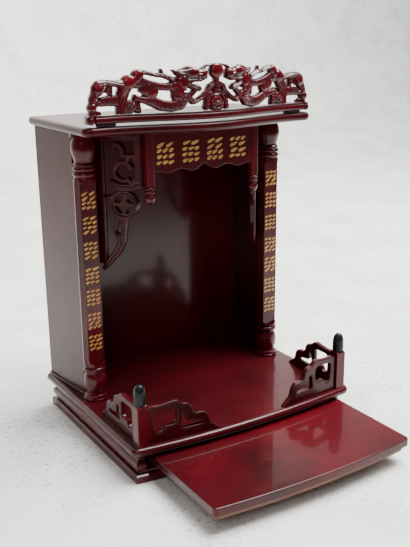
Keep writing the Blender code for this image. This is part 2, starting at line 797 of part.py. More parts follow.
def post(name, sign):
    half = postSide / 2
    cx, cy = sign * postX, -postY
    points, faces = [], []
    postTop = postLow + postHeight
    for reach, z in ((half, postLow), (half, postTop - 0.0022), (half - 0.002, postTop)):
        for sx, sy in ((1, 1), (-1, 1), (-1, -1), (1, -1)):
            points.append((cx + sx * reach, cy + sy * reach, z))
    for level in range(2):
        a = 4 * level
        for k in range(4):
            faces.append((a + k, a + (k + 1) % 4, a + 4 + (k + 1) % 4, a + 4 + k))
    faces += [(3, 2, 1, 0), (8, 9, 10, 11)]
    return solid(name, points, faces, lacquer, 0.2, False, (cx, cy, postLow))


def finial(name, sign):
    low = postLow + postHeight + gap
    top = low + finialHeight
    profile = [(finialRadius, low), (finialRadius, low + 0.0125)]
    for k in range(1, 6):
        t = k / 6 * math.pi / 2
        height = low + 0.0125 + (finialHeight - 0.0125) * math.sin(t)
        profile.append((finialRadius * math.cos(t) ** 0.75, height))
    profile.append((0.0012, top))
    return turned(name, profile, (sign * postX, -postY), 12, finialGreen, 0.4)


# The wings are stretched from a drawing in millimetres, 51.5 high and 7.8 to 108 long
wingStart = postSide / 2 + gap
drawnStart, drawnEnd, drawnTop = 7.8, 108.0, 51.5
wingStretch = (wingLength - wingStart) / (drawnEnd - drawnStart)
wingLine = [
    (0, 46.5), (8, 47.5), (14, 49.5), (24, 49.2), (34, 50.2), (42, 51.3), (48, 51.2), (52, 48.6),
    (55.5, 45.4), (60, 44.6), (64.5, 42.6), (67.5, 38.2), (69.5, 32), (73, 29), (79, 28.4),
    (85, 27.4), (89, 23.8), (91.2, 18.5), (93, 12), (97, 8.2), (102, 4.6), (106, 1.6),
    (drawnEnd, 0),
]


def wingShape(d, z):
    """Distances in a wing's drawing: along from the post's middle, and up from the floor."""
    runs = np.array(wingLine)
    edge = np.interp(d, runs[:, 0], runs[:, 1])
    tilt = np.gradient(runs[:, 1], runs[:, 0])
    slopes = np.interp(d, runs[:, 0], tilt)
    wood = (z - edge) / np.sqrt(1 + slopes**2)
    wood = np.maximum(wood, -z)
    wood = np.maximum(wood, drawnStart - d)
    wood = np.maximum(wood, d - drawnEnd)
    hook = slab(d, z, 17.5, wingBarStart * 1000, 19.5, 42.0, 6.0)
    first = np.minimum(hook, disc(d, z, 24.2, 19.2, 6.0))
    foot = wingBarEnd * 1000 + 4.2
    tall = stroke(d, z, [(foot, 16.0, 4.2), (foot, 28.5, 3.2)])
    second = np.minimum(tall, stroke(d, z, [(foot, 15.6, 4.2), (66, 15.2, 3.9), (80.5, 14.2, 2.6)]))
    return np.maximum(wood, -np.minimum(first, second))


def wing(name, sign, onSide):
    start = np.array([sign * postX, -postY])
    if onSide:
        along = np.array([0.0, 1.0])
        normal = np.array([-1.0, 0.0]) * -sign
    else:
        along = np.array([-sign * math.cos(wingTurn), -math.sin(wingTurn)])
        normal = np.array([along[1], -along[0]]) * sign * -1
        if normal[1] > 0:
            normal = -normal

    def place(d, depth, z):
        w = -wingThickness / 2 if depth is None else wingThickness / 2 - depth
        reach = wingStart + (d - drawnStart) * wingStretch
        spot = start + along * reach + normal * w
        if not onSide:
            settle = min(max((16 - d) / 8, 0), 1)
            spot[0] = spot[0] + settle * (sign * (postX - postSide / 2 - gap) - spot[0]) * (d < 9)
        return (spot[0], spot[1], postLow + z / drawnTop * wingHeight)

    def relief(d, z, shape):
        return np.where(shape(d, z) < -0.3, 0.0, 0.0008)

    bounds = (drawnStart - 0.3, drawnEnd, 0, drawnTop)
    return carved(name, wingShape, bounds, place, lacquerDark, relief, 12.0, 0.3)


for label, sign in (("left", -1), ("right", 1)):
    post("post_" + label, sign)
    finial("finial_" + label, sign)
    wing("wing_front_" + label, sign, False)
    wing("wing_side_" + label, sign, True)

# Crown: pads, a bowed rail and an openwork carving of two dragons facing a pearl
padLow = topUnderside + topThickness + gap
railLow = padLow + padHeight + gap
railHigh = railLow + crownRailHeight
carvingLow = railHigh + gap
padSetback = 0.0035


def pad(name, sign):
    cx = sign * padX
    outline = []
    for dx in (-padLength / 2, padLength / 2):
        outline.append((cx + dx, float(topFront(cx)) + padSetback))
    for dx in (padLength / 2, -padLength / 2):
        outline.append((cx + dx, float(topFront(cx)) + padSetback + padDepth))
    return prism(name, outline, padLow, padLow + padHeight, padBlack, 0.6)


pad("pad_left", -1)
pad("pad_right", 1)

drawnRail = [
    (0.0016, 0.0), (0.0, 0.0010), (0.0, 0.0048), (0.0020, 0.0058), (0.0022, 0.0072),
    (0.0006, 0.0082), (0.0006, 0.0096), (0.0016, 0.0102),
]
railProfile = [(inset, rise * crownRailHeight / 0.0102) for inset, rise in drawnRail]
steps = 22
points, faces = [], []
section = [(d, z) for d, z in railProfile] + [(crownRailDepth, crownRailHeight), (crownRailDepth, 0.0)]
# Each end is drawn in to a neck and then rounded like a bead
endShape = [(0.0, 0.40), (0.0014, 0.74), (0.0042, 0.92), (0.0074, 0.80), (0.0092, 0.74), (0.0098, 1.0)]
stations = [(-crownRailHalf + reach, scale) for reach, scale in endShape]
body = crownRailHalf - 0.0098
stations += [(-body + 2 * body * k / steps, 1.0) for k in range(1, steps)]
stations += [(crownRailHalf - reach, scale) for reach, scale in endShape[::-1]]
for x, squeeze in stations:
    for d, z in section:
        depth = crownRailDepth / 2 + (d - crownRailDepth / 2) * squeeze
        rise = crownRailHeight / 2 + (z - crownRailHeight / 2) * squeeze
        points.append((x, float(topFront(x)) + depth, railLow + rise))
size = len(section)
for k in range(len(stations) - 1):
    for m in range(size):
        a, b = size * k + m, size * k + (m + 1) % size
        faces.append((a, b, b + size, a + size))
faces += [tuple(range(size)), tuple(size * (len(stations) - 1) + m for m in range(size))[::-1]]
solid("crown_rail", points, faces, lacquer)

# The carving is stretched from a drawing in millimetres, 165.5 to each side and 442.6 to 499.8 high
drawnHalf, drawnFoot, drawnPeak = 165.5, 442.6, 499.8
pearl = (0.0, 490.5, 9.2)
ball = (0.0, 450.4, 10.2)
rosette = (-112.4, 450.6, 8.6)


def crownShape(x, z):
    """Distances in the crown's drawing, the same on both sides of its middle."""
    x = -np.abs(x)
    wood = disc(x, z, *pearl)
    parts = [
        # Bead, neck and curl at the end
        [(-159.0, 451.3, 5.4), (-158.6, 451.5, 5.4)],
        [(-157.8, 444.5, 4.8), (-151.0, 443.6, 3.4)],
        [(-158.2, 455.0, 3.8), (-157.4, 461.5, 4.0), (-153.0, 468.0, 5.6), (-151.4, 473.0, 6.2)],
        [(-151.0, 474.2, 6.2), (-149.5, 477.0, 5.6), (-144.0, 479.3, 4.2), (-138.0, 480.0, 3.4),
         (-128.0, 478.4, 3.6), (-119.0, 477.5, 5.0)],
        [(-138.6, 470.2, 2.6), (-138.2, 473.0, 2.2), (-134.6, 475.5, 2.4)],
        [(-134.4, 477.0, 2.4), (-134.4, 460.0, 2.6)],
        [(-152.0, 455.6, 3.2), (-146.0, 457.8, 5.4), (-138.0, 458.6, 6.0), (-130.0, 458.4, 6.2),
         (-122.0, 459.0, 6.5)],
        # Haunch
        [(-111.8, 480.0, 8.0), (-116.0, 473.0, 7.6), (-120.0, 463.5, 7.0), (-121.8, 454.0, 5.8),
         (-122.3, 444.0, 5.2)],
        # Second lobe and the tail arched over the back
        [(-100.2, 488.6, 5.3), (-103.5, 483.0, 6.0)],
        [(-99.0, 489.8, 4.4), (-93.8, 491.0, 3.0), (-86.8, 489.6, 2.4), (-79.6, 487.2, 2.3),
         (-71.2, 486.8, 2.8), (-65.3, 484.6, 2.4), (-58.0, 481.6, 3.2)],
        [(-70.8, 487.5, 2.2), (-72.0, 493.6, 0.9)],
        # Back and shoulder
        [(-103.0, 479.0, 7.0), (-97.0, 479.5, 6.0), (-89.5, 475.5, 6.4), (-77.5, 473.9, 4.7),
         (-65.6, 472.6, 4.4), (-54.0, 473.8, 6.0)],
        [(-91.0, 471.0, 8.2), (-84.0, 467.5, 7.8)],
        # Claw by the rosette, then the belly coil up to the chest
        [(-104.5, 464.0, 1.2), (-105.0, 457.5, 2.8), (-103.6, 449.0, 4.6)],
        [(-101.6, 452.0, 3.6), (-100.6, 445.5, 3.4)],
        [(-102.5, 461.0, 3.0), (-97.5, 458.8, 3.8), (-91.4, 457.8, 4.6), (-81.8, 455.4, 6.2),
         (-72.2, 450.8, 6.6), (-60.1, 449.2, 6.6), (-49.5, 451.6, 6.8), (-44.0, 458.6, 6.4),
         (-50.0, 466.0, 6.4)],
        [(-53.0, 474.0, 6.5), (-52.6, 462.0, 6.6)],
        # Head with ear, jaws and whisker
        [(-47.0, 479.5, 7.6), (-46.0, 474.5, 6.0)],
        [(-51.8, 489.2, 3.4), (-45.5, 488.4, 5.6), (-38.0, 490.6, 6.2), (-33.0, 488.6, 5.8),
         (-25.5, 487.2, 5.0), (-18.6, 488.4, 5.0)],
        [(-51.0, 489.2, 2.6), (-57.6, 492.2, 0.9)],
        [(-40.0, 480.5, 5.5), (-31.0, 481.5, 3.6), (-23.0, 481.4, 3.4), (-16.5, 483.8, 3.2)],
        [(-21.0, 492.6, 1.4), (-14.0, 496.8, 1.1), (-7.0, 498.0, 1.1)],
        # Claw below the jaw
        [(-39.0, 474.5, 3.6), (-34.0, 472.4, 3.2), (-28.0, 470.8, 3.8), (-25.0, 469.6, 3.2)],
        [(-29.0, 468.5, 2.6), (-34.0, 463.5, 2.6), (-38.0, 461.0, 3.6)],
        # Branch to the stem, the stem and its leaves
        [(-41.5, 461.0, 4.4), (-37.0, 458.0, 3.6), (-32.5, 453.6, 3.2), (-27.0, 455.4, 2.8),
         (-20.0, 459.4, 2.8), (-13.0, 465.4, 3.0), (-9.8, 472.0, 2.8), (-6.0, 474.5, 2.8)],
        [(0.0, 486.0, 3.6), (0.0, 476.0, 3.4), (0.0, 470.0, 5.2), (0.0, 464.0, 6.4)],
        [(-9.0, 462.5, 2.6), (-12.5, 457.0, 3.2)],
        [(-13.5, 456.0, 3.4), (-14.6, 446.5, 3.6)],
    ]
    for path in parts:
        wood = blend(wood, stroke(x, z, path), 0.9)
    wood = np.minimum(wood, disc(x, z, *ball))
    wood = np.minimum(wood, disc(x, z, *rosette))
    openings = [
        [(-151.6, 460.8, 1.6), (-150.6, 459.4, 1.4)],
        [(-145.0, 466.8, 1.2), (-144.6, 471.2, 1.6), (-142.4, 473.6, 1.4), (-138.6, 474.8, 0.8)],
        [(-129.2, 471.4, 2.3), (-129.2, 467.0, 2.4)],
        [(-92.8, 487.0, 1.0), (-84.5, 484.4, 2.2), (-73.8, 481.4, 2.4), (-64.1, 480.2, 1.4)],
        [(-108.2, 469.6, 1.8), (-110.9, 464.9, 2.0), (-108.6, 459.6, 1.0)],
        [(-107.5, 469.6, 2.0), (-100.7, 467.1, 2.0), (-95.2, 464.9, 1.3)],
        [(-70.3, 464.4, 4.2), (-64.0, 461.6, 4.6)],
        [(-32.0, 476.4, 1.0), (-27.0, 476.4, 1.4), (-21.5, 474.9, 2.0), (-16.4, 470.4, 2.3),
         (-21.5, 465.6, 1.9), (-27.0, 462.4, 1.4), (-30.5, 460.8, 0.9)],
        [(-46.0, 466.6, 1.0), (-41.0, 467.2, 1.7), (-36.4, 468.8, 1.2)],
        [(-11.4, 481.0, 2.2), (-9.6, 482.8, 1.6)],
        [(-10.5, 480.5, 2.4), (-7.4, 475.8, 1.4)],
        [(-5.0, 461.6, 0.9), (0.0, 462.4, 1.2)],
    ]
    wood = wood - 0.25
    for path in openings:
        wood = np.maximum(wood, -stroke(x, z, path) - 0.5)
    return np.maximum(wood, drawnFoot - z)


def crownPlace(x, depth, z):
    across = x / drawnHalf * crownRailHalf
    up = carvingLow + (z - drawnFoot) / (drawnPeak - drawnFoot) * crownHeight
    y = float(topFront(across)) + crownSetback
    return (across, y + (crownDepth if depth is None else depth), up)


def crownRelief(x, z, shape):
    """Depth of the front: rounded wood, with the pearl, the ball and the rosettes standing out."""
    found = crownEdgeDepth * (1 - np.clip(-shape(x, z), 0, 5) / 5)
    side = -np.abs(x)
    for cx, cz, radius in (pearl, ball, rosette):
        swell = np.clip(1 - ((side - cx) ** 2 + (z - cz) ** 2) / radius**2, 0, 1)
        found = np.minimum(found, crownEdgeDepth - 0.0052 * np.sqrt(swell))
    return found


crownBounds = (-166, 166, drawnFoot, 501)
carved("crown", crownShape, crownBounds, crownPlace, lacquer, crownRelief, 7.5, 0.34)

# Tray: a lacquered board over a layer of bare wood, running in the plinth's slot
def trayPlan(inset):
    half = trayHalfWidth - inset

    def front(x):
        return -(trayFrontCorner + deckBow * (1 - (x / deckHalfWidth) ** 2)) + inset

    back = -trayFrontCorner + trayLength - inset
    outline = plan(half, back, front, 0.006, 0.002, 12)
    outline[:, 0] += trayPlay
    return outline


trayProfile = [
    (0.0008, 0.0), (0.0, 0.0008), (0.0, trayLacquer - 0.0012), (0.0005, trayLacquer - 0.0003),
    (0.0014, trayLacquer),
]
tray = board("tray", trayPlan(0.0), trayTop - trayLacquer, trayProfile, lacquer, 0.16)
woodTop = trayTop - trayLacquer - gap
woodProfile = [(0.0006, 0.0), (0.0, 0.0006), (0.0, trayWood - gap)]
wood = board("tray_wood", trayPlan(trayWoodInset), woodTop - trayWood + gap, woodProfile, rawWood, 0.6)
wood.parent = tray
wood.matrix_parent_inverse = tray.matrix_basis.inverted()
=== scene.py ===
import math

import bmesh
import bpy
import numpy as np
from mathutils import Matrix, Vector


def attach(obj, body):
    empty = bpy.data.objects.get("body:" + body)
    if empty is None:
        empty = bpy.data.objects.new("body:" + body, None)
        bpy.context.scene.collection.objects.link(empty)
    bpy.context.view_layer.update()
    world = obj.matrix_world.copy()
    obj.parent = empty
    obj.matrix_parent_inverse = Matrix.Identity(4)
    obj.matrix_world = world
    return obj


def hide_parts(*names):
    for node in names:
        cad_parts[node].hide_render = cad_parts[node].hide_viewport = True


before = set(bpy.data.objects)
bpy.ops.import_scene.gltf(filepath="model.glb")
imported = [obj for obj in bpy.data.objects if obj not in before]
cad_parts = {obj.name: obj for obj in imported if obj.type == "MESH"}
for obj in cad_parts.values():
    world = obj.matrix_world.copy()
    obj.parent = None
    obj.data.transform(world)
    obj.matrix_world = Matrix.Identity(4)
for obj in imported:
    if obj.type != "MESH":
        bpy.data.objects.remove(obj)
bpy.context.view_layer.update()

# the middle line of the columns lies this far behind the frame's origin
shiftY = 0.0945
gap = 0.0003
deckTop = 0.050
shelfLow = deckTop + gap
shelfHigh = 0.417 - gap
random = np.random.default_rng(41)
sides = (("Left", -1), ("Right", 1))


# shader nodes
def addNode(tree, kind, **settings):
    # nodes fill the editor in rows of eight
    spot = len(tree.nodes)
    node = tree.nodes.new("ShaderNode" + kind)
    node.location = (220 * (spot % 8), -320 * (spot // 8))
    for key, value in settings.items():
        setattr(node, key, value)
    return node


def feed(tree, value, socket):
    # another node's output goes in by a link, anything else as a value
    if isinstance(value, bpy.types.NodeSocket):
        tree.links.new(value, socket)
    elif socket.type == "RGBA" and len(value) == 3:
        socket.default_value = (*value, 1)
    else:
        socket.default_value = value


def mathNode(tree, operation, first, second, clamp=False):
    node = addNode(tree, "Math", operation=operation, use_clamp=clamp)
    feed(tree, first, node.inputs[0])
    feed(tree, second, node.inputs[1])
    return node.outputs[0]


def mixColour(tree, factor, first, second, blend="MIX"):
    node = addNode(tree, "Mix", data_type="RGBA", blend_type=blend)
    for slot, value in ((0, factor), (6, first), (7, second)):
        feed(tree, value, node.inputs[slot])
    return node.outputs[2]


def stretchedPlace(tree, stretch=(1, 1, 1)):
    scaled = addNode(tree, "Mapping")
    scaled.inputs["Scale"].default_value = stretch
    feed(tree, addNode(tree, "TexCoord").outputs["Object"], scaled.inputs["Vector"])
    return scaled.outputs["Vector"]


def noiseNode(tree, vector, scale, detail, rough):
    noise = addNode(tree, "TexNoise")
    for label, value in (("Vector", vector), ("Scale", scale), ("Detail", detail), ("Roughness", rough)):
        feed(tree, value, noise.inputs[label])
    return noise.outputs["Fac"]


def rampNode(tree, factor, stops):
    ramp = addNode(tree, "ValToRGB")
    for element, (spot, value) in zip(ramp.color_ramp.elements, stops):
        element.position = spot
        element.color = (*value, 1) if isinstance(value, tuple) else (value, value, value, 1)
    feed(tree, factor, ramp.inputs["Fac"])
    return ramp.outputs["Color"]


# shared effects, each a shader group; a starting value of four numbers makes a colour socket
def newGroup(name, inputs, outputs):
    tree = bpy.data.node_groups.new(name, "ShaderNodeTree")
    kinds = {True: "NodeSocketColor", False: "NodeSocketFloat"}
    for label, value in inputs.items():
        kind = kinds[isinstance(value, tuple)]
        tree.interface.new_socket(label, in_out="INPUT", socket_type=kind).default_value = value
    for label in outputs:
        tree.interface.new_socket(label, in_out="OUTPUT", socket_type=kinds[label == "Colour"])
    return tree, tree.nodes.new("NodeGroupInput").outputs, tree.nodes.new("NodeGroupOutput").inputs


def buildLacquerGroup():
    # stain seen through the lacquer, in cloudy patches with fine grain
    tree, entry, leave = newGroup("lacquerTone", {
        "Deep": (0.05, 0.001, 0.004, 1), "Bright": (0.14, 0.004, 0.010, 1), "Cloud Scale": 9.0, "Grain": 0.3,
        "Edge Wear": 0.3, "Hollow Shade": 0.5, "Smudge": 0.5, "Roughness": 0.2,
    }, ("Colour", "Roughness", "Height"))
    # the second tone is the colour of the painted shade in hollows
    wornTone, hollowShadeTone = (0.085, 0.006, 0.010), (0.0035, 0.0002, 0.0005)
    plain = stretchedPlace(tree)
    cloud = noiseNode(tree, plain, entry["Cloud Scale"], 5.0, 0.6)
    cloud = rampNode(tree, cloud, [(0.32, 0.0), (0.68, 1.0)])
    grain = noiseNode(tree, stretchedPlace(tree, (26, 26, 2.2)), 9.0, 6.0, 0.62)
    grainShare = rampNode(tree, grain, [(0.38, 1.0), (0.62, 0.35)])
    tone = mixColour(tree, cloud, entry["Deep"], entry["Bright"])
    tone = mixColour(tree, entry["Grain"], tone, grainShare, "MULTIPLY")
    # corners are rubbed lighter in patches; hollows get painted shade, darker and duller
    edge = addNode(tree, "Attribute", attribute_name="edgeMask").outputs["Fac"]
    hollow = addNode(tree, "Attribute", attribute_name="hollowShadeMask").outputs["Fac"]
    worn = mathNode(tree, "MULTIPLY", edge, noiseNode(tree, plain, 160.0, 3.0, 0.6))
    worn = mathNode(tree, "MULTIPLY", worn, entry["Edge Wear"], True)
    shade = mathNode(tree, "MULTIPLY", hollow, entry["Hollow Shade"], True)
    tone = mixColour(tree, shade, mixColour(tree, worn, tone, wornTone), hollowShadeTone)
    feed(tree, tone, leave["Colour"])
    smear = mathNode(tree, "SUBTRACT", noiseNode(tree, plain, 34.0, 4.0, 0.7), 0.5)
    smear = mathNode(tree, "MULTIPLY", smear, entry["Smudge"])
    rough = mathNode(tree, "ADD", smear, entry["Roughness"])
    rough = mathNode(tree, "ADD", rough, mathNode(tree, "MULTIPLY", shade, 0.25), True)
    feed(tree, rough, leave["Roughness"])
    # fine orange peel over slow waves, with some of the grain
    peel = mathNode(tree, "MULTIPLY", noiseNode(tree, plain, 260.0, 2.0, 0.5), 0.25)
    height = mathNode(tree, "ADD", peel, noiseNode(tree, plain, 30.0, 2.0, 0.5))
    height = mathNode(tree, "ADD", height, mathNode(tree, "MULTIPLY", grain, 0.35))
    feed(tree, height, leave["Height"])
    return tree


def buildDustGroup():
    # pale specks and a thin film on faces that look up
    tree, entry, leave = newGroup("settledDust", {
        "Colour": (0.1, 0.1, 0.1, 1), "Dust": (0.42, 0.36, 0.34, 1), "Film": 0.06, "Specks": 0.35,
    }, ("Colour",))
    split = addNode(tree, "SeparateXYZ")
    feed(tree, addNode(tree, "NewGeometry").outputs["Normal"], split.inputs[0])
    up = mathNode(tree, "MULTIPLY", split.outputs["Z"], 1.0, True)
    plain = stretchedPlace(tree)
    film = mathNode(tree, "MULTIPLY", noiseNode(tree, plain, 22.0, 5.0, 0.65), entry["Film"])
    specks = rampNode(tree, noiseNode(tree, plain, 620.0, 1.0, 0.5), [(0.70, 0.0), (0.76, 1.0)])
    share = mathNode(tree, "ADD", film, mathNode(tree, "MULTIPLY", specks, entry["Specks"]))
    share = mathNode(tree, "MULTIPLY", share, up, True)
    feed(tree, mixColour(tree, share, entry["Colour"], entry["Dust"]), leave["Colour"])
    return tree


def buildGrainGroup():
    # long fibres with darker pores
    tree, entry, leave = newGroup("bareGrain", {
        "Light": (0.42, 0.22, 0.11, 1), "Dark": (0.16, 0.06, 0.03, 1), "Fibre Scale": 12.0,
    }, ("Colour", "Height"))
    fibre = noiseNode(tree, stretchedPlace(tree, (2.0, 30.0, 30.0)), entry["Fibre Scale"], 8.0, 0.7)
    share = rampNode(tree, fibre, [(0.35, 0.0), (0.65, 1.0)])
    feed(tree, mixColour(tree, share, entry["Dark"], entry["Light"]), leave["Colour"])
    feed(tree, fibre, leave["Height"])
    return tree


lacquerGroup, dustGroup, grainGroup = buildLacquerGroup(), buildDustGroup(), buildGrainGroup()
print("shader groups built")


# materials
def startMaterial(name):
    material = bpy.data.materials.new(name)
    material.use_nodes = True
    tree = material.node_tree
    tree.nodes.clear()
    shader = addNode(tree, "BsdfPrincipled")
    feed(tree, shader.outputs["BSDF"], addNode(tree, "OutputMaterial").inputs["Surface"])
    return material, tree, shader.inputs


def placeGroup(tree, group, values):
    node = addNode(tree, "Group", node_tree=group)
    for label, value in values.items():
        feed(tree, value, node.inputs[label])
    return node.outputs


def bumpFrom(tree, height, socket, strength, distance):
    bump = addNode(tree, "Bump")
    for label, value in (("Strength", strength), ("Distance", distance), ("Height", height)):
        feed(tree, value, bump.inputs[label])
    feed(tree, bump.outputs["Normal"], socket)


# deep and bright scale the two stains; each part's share is partly its own tone and partly painted light and
# shade, one red lacquer made brighter or darker part by part for how much light reaches it
lacquerLook = {"deep": (0.022, 0.0001, 0.0012), "bright": (0.048, 0.0002, 0.0026), "smudge": 0.10,
               "roughness": 0.34, "specular": 0.12, "coatIor": 1.42, "bumpDistance": 0.001}
lacquerLitShares = {
    "board": {"deep": 1.2, "bright": 1.3, "grain": 0.35, "coat": 0.27, "coatRoughness": 0.12},
    "shelf": {"deep": 1.3, "bright": 1.3, "specks": 0.22, "coat": 0.5, "coatRoughness": 0.06},
    "panel": {"deep": 1.5, "bright": 1.5, "grain": 0.5, "bump": 0.07, "coat": 0.42, "coatRoughness": 0.09,
              "specks": 0.05},
    "inner": {"deep": 1.4, "bright": 2.0, "cloudScale": 6.0, "grain": 0.6, "bump": 0.09, "coat": 0.6,
              "coatRoughness": 0.12},
    "mould": {"deep": 2.5, "bright": 2.5, "wear": 0.5, "coat": 0.55, "coatRoughness": 0.07},
    "turned": {"deep": 2.1, "bright": 2.1, "grain": 0.25, "wear": 0.45, "coat": 0.5},
    "carved": {"deep": 1.2, "bright": 1.2, "cloudScale": 30.0, "grain": 0.2, "wear": 0.4, "hollow": 0.85,
               "bump": 0.08, "coat": 0.34, "coatRoughness": 0.18},
    "crown": {"deep": 1.9, "bright": 2.9, "cloudScale": 34.0, "grain": 0.2, "wear": 0.5, "hollow": 0.8,
              "bump": 0.08, "coat": 0.85, "coatRoughness": 0.05},
    "rail": {"deep": 1.6, "bright": 1.6, "grain": 0.25, "wear": 0.4, "coat": 0.45, "coatRoughness": 0.10},
    "tray": {"deep": 0.8, "bright": 1.9, "cloudScale": 7.0, "grain": 0.25, "bump": 0.035, "film": 0.006,
             "specks": 0.08, "coat": 0.4},
    "header": {"deep": 1.5, "bright": 1.5, "wear": 0.4, "coat": 0.4, "coatRoughness": 0.08},
}


def lacquer(name, deep, bright, coat, coatRoughness=0.035, cloudScale=9.0, grain=0.3, wear=0.3, hollow=0.5,
            bump=0.05, film=0.012, specks=0.10):
    look = lacquerLook
    material, tree, shader = startMaterial(name)
    tone = placeGroup(tree, lacquerGroup, {
        "Deep": tuple(value * deep for value in look["deep"]),
        "Bright": tuple(value * bright for value in look["bright"]),
        "Cloud Scale": cloudScale, "Grain": grain, "Edge Wear": wear, "Hollow Shade": hollow,
        "Smudge": look["smudge"], "Roughness": look["roughness"],
    })
    dust = placeGroup(tree, dustGroup, {"Colour": tone["Colour"], "Film": film, "Specks": specks})
    feed(tree, dust["Colour"], shader["Base Color"])
    feed(tree, tone["Roughness"], shader["Roughness"])
    shader["Specular IOR Level"].default_value = look["specular"]
    shader["Coat Weight"].default_value = coat
    shader["Coat Roughness"].default_value = coatRoughness
    shader["Coat IOR"].default_value = look["coatIor"]
    bumpFrom(tree, tone["Height"], shader["Normal"], bump, look["bumpDistance"])
    return material


lacquers = {kind: lacquer(kind + "Lacquer", **values) for kind, values in lacquerLitShares.items()}

# fibres or noise give both the tone and the height of the plainer surfaces
paintLooks = {
    "bareWood": {"deep": (0.08, 0.028, 0.016), "pale": (0.20, 0.085, 0.045), "fibres": 12.0,
                 "roughSpan": 0.3, "roughLow": 0.47, "bump": (0.35, 0.0006)},
    "giltPaint": {"deep": (0.30, 0.14, 0.03), "pale": (0.56, 0.32, 0.085), "fibres": 30.0, "specks": 0.15,
                  "roughSpan": 0.5, "roughLow": 0.18, "bump": (0.3, 0.0004)},
    "slatePaint": {"deep": (0.0015, 0.0035, 0.0035), "pale": (0.006, 0.010, 0.010), "noise": (90.0, 4.0, 0.6),
                   "specks": 0.2, "roughSpan": 0.2, "roughLow": 0.20, "bump": (0.25, 0.0006)},
    "padFelt": {"deep": (0.006, 0.006, 0.007), "pale": (0.022, 0.021, 0.023), "noise": (900.0, 3.0, 0.7),
                "roughSpan": 1.0, "roughLow": 0.4, "bump": (0.5, 0.0005)},
}
giltMetal, slateSpecular, paintFilm = 0.35, 0.22, 0.02


def paint(name, look):
    material, tree, shader = startMaterial(name)
    if "fibres" in look:
        fibres = {"Light": look["pale"], "Dark": look["deep"], "Fibre Scale": look["fibres"]}
        pattern = placeGroup(tree, grainGroup, fibres)
        tone, height = pattern["Colour"], pattern["Height"]
    else:
        height = noiseNode(tree, stretchedPlace(tree), *look["noise"])
        tone = mixColour(tree, height, look["deep"], look["pale"])
    if "specks" in look:
        settled = {"Colour": tone, "Film": paintFilm, "Specks": look["specks"]}
        tone = placeGroup(tree, dustGroup, settled)["Colour"]
    feed(tree, tone, shader["Base Color"])
    rough = mathNode(tree, "MULTIPLY", height, look["roughSpan"])
    feed(tree, mathNode(tree, "ADD", rough, look["roughLow"], True), shader["Roughness"])
    bumpFrom(tree, height, shader["Normal"], *look["bump"])
    return material, shader


bareWood, _ = paint("bareWood", paintLooks["bareWood"])
giltPaint, shader = paint("giltPaint", paintLooks["giltPaint"])
shader["Metallic"].default_value = giltMetal
slatePaint, shader = paint("slatePaint", paintLooks["slatePaint"])
shader["Specular IOR Level"].default_value = slateSpecular
padFelt, _ = paint("padFelt", paintLooks["padFelt"])
print("materials built")


# mesh helpers
def linked(name, data):
    item = bpy.data.objects.new(name, data)
    bpy.context.scene.collection.objects.link(item)
    return item


def turnOut(mesh):
    # joins points that meet and turns every face outwards
    shaped = bmesh.new()
    shaped.from_mesh(mesh)
    bmesh.ops.remove_doubles(shaped, verts=shaped.verts, dist=0.000004)
    bmesh.ops.recalc_face_normals(shaped, faces=shaped.faces)
    if shaped.calc_volume(signed=True) < 0:
        bmesh.ops.reverse_faces(shaped, faces=shaped.faces)
    shaped.to_mesh(mesh)
    shaped.free()


def solidObject(name, points, faces):
    mesh = bpy.data.meshes.new(name)
    mesh.from_pydata([tuple(map(float, p)) for p in points], [], [tuple(map(int, f)) for f in faces])
    mesh.validate()
    turnOut(mesh)
    return linked(name, mesh)


def markEdges(mesh, reach=0.0009, contrast=3.2):
    # how far each point stands out of its neighbours, for rubbed wear, and how far it lies in, for painted
    # shade
    count = len(mesh.vertices)
    spots, normals = np.empty(count * 3, np.float32), np.empty(count * 3, np.float32)
    mesh.vertices.foreach_get("co", spots)
    mesh.vertices.foreach_get("normal", normals)
    spots, normals = spots.reshape(-1, 3).astype(float), normals.reshape(-1, 3).astype(float)
    pairs = np.empty(len(mesh.edges) * 2, np.int32)
    mesh.edges.foreach_get("vertices", pairs)
    pairs = pairs.reshape(-1, 2)
    along = spots[pairs[:, 1]] - spots[pairs[:, 0]]
    length = np.maximum(np.linalg.norm(along, axis=1), 1e-6)
    total, seen = np.zeros(count), np.zeros(count)
    for end, sign in ((0, 1.0), (1, -1.0)):
        lean = -(sign * along * normals[pairs[:, end]]).sum(axis=1) / length
        np.add.at(total, pairs[:, end], lean * np.minimum(reach / length, 1.0))
        np.add.at(seen, pairs[:, end], 1.0)
    bend = contrast * total / np.maximum(seen, 1)
    for label, values in (("edgeMask", bend), ("hollowShadeMask", -bend)):
        layer = mesh.attributes.get(label) or mesh.attributes.new(label, "FLOAT", "POINT")
        layer.data.foreach_set("value", np.clip(values, 0, 1).astype(np.float32))


def dress(piece, material, angle, masks=True, weighted=True):
    mesh = piece.data
    mesh.materials.clear()
    mesh.materials.append(material)
    for polygon in mesh.polygons:
        polygon.use_smooth = True
        polygon.material_index = 0
    mesh.set_sharp_from_angle(angle=math.radians(angle))
    if masks:
        markEdges(mesh)
    if weighted:
        piece.modifiers.new("faceWeights", "WEIGHTED_NORMAL").keep_sharp = True


def makePiece(name, shape, material, node=None, slotName="lacquer_red", body="cabinet", angle=32.0, **settings):
    piece = solidObject(name, *shape)
    dress(piece, material, angle, **settings)
    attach(piece, body)
    if node:
        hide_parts(node)
    return piece


def loft(rings, flipCaps=False):
    # closed rings of points joined in turn, with a cap at each end
    count, total = len(rings[0]), len(rings) * len(rings[0])
    faces = []
    for start in range(0, total - count, count):
        for k in range(count):
            n = (k + 1) % count
            faces.append((start + k, start + n, start + count + n, start + count + k))
    caps = [list(range(count)), list(range(total - count, total))]
    caps[1 if flipCaps else 0].reverse()
    return [point for ring in rings for point in ring], faces + caps


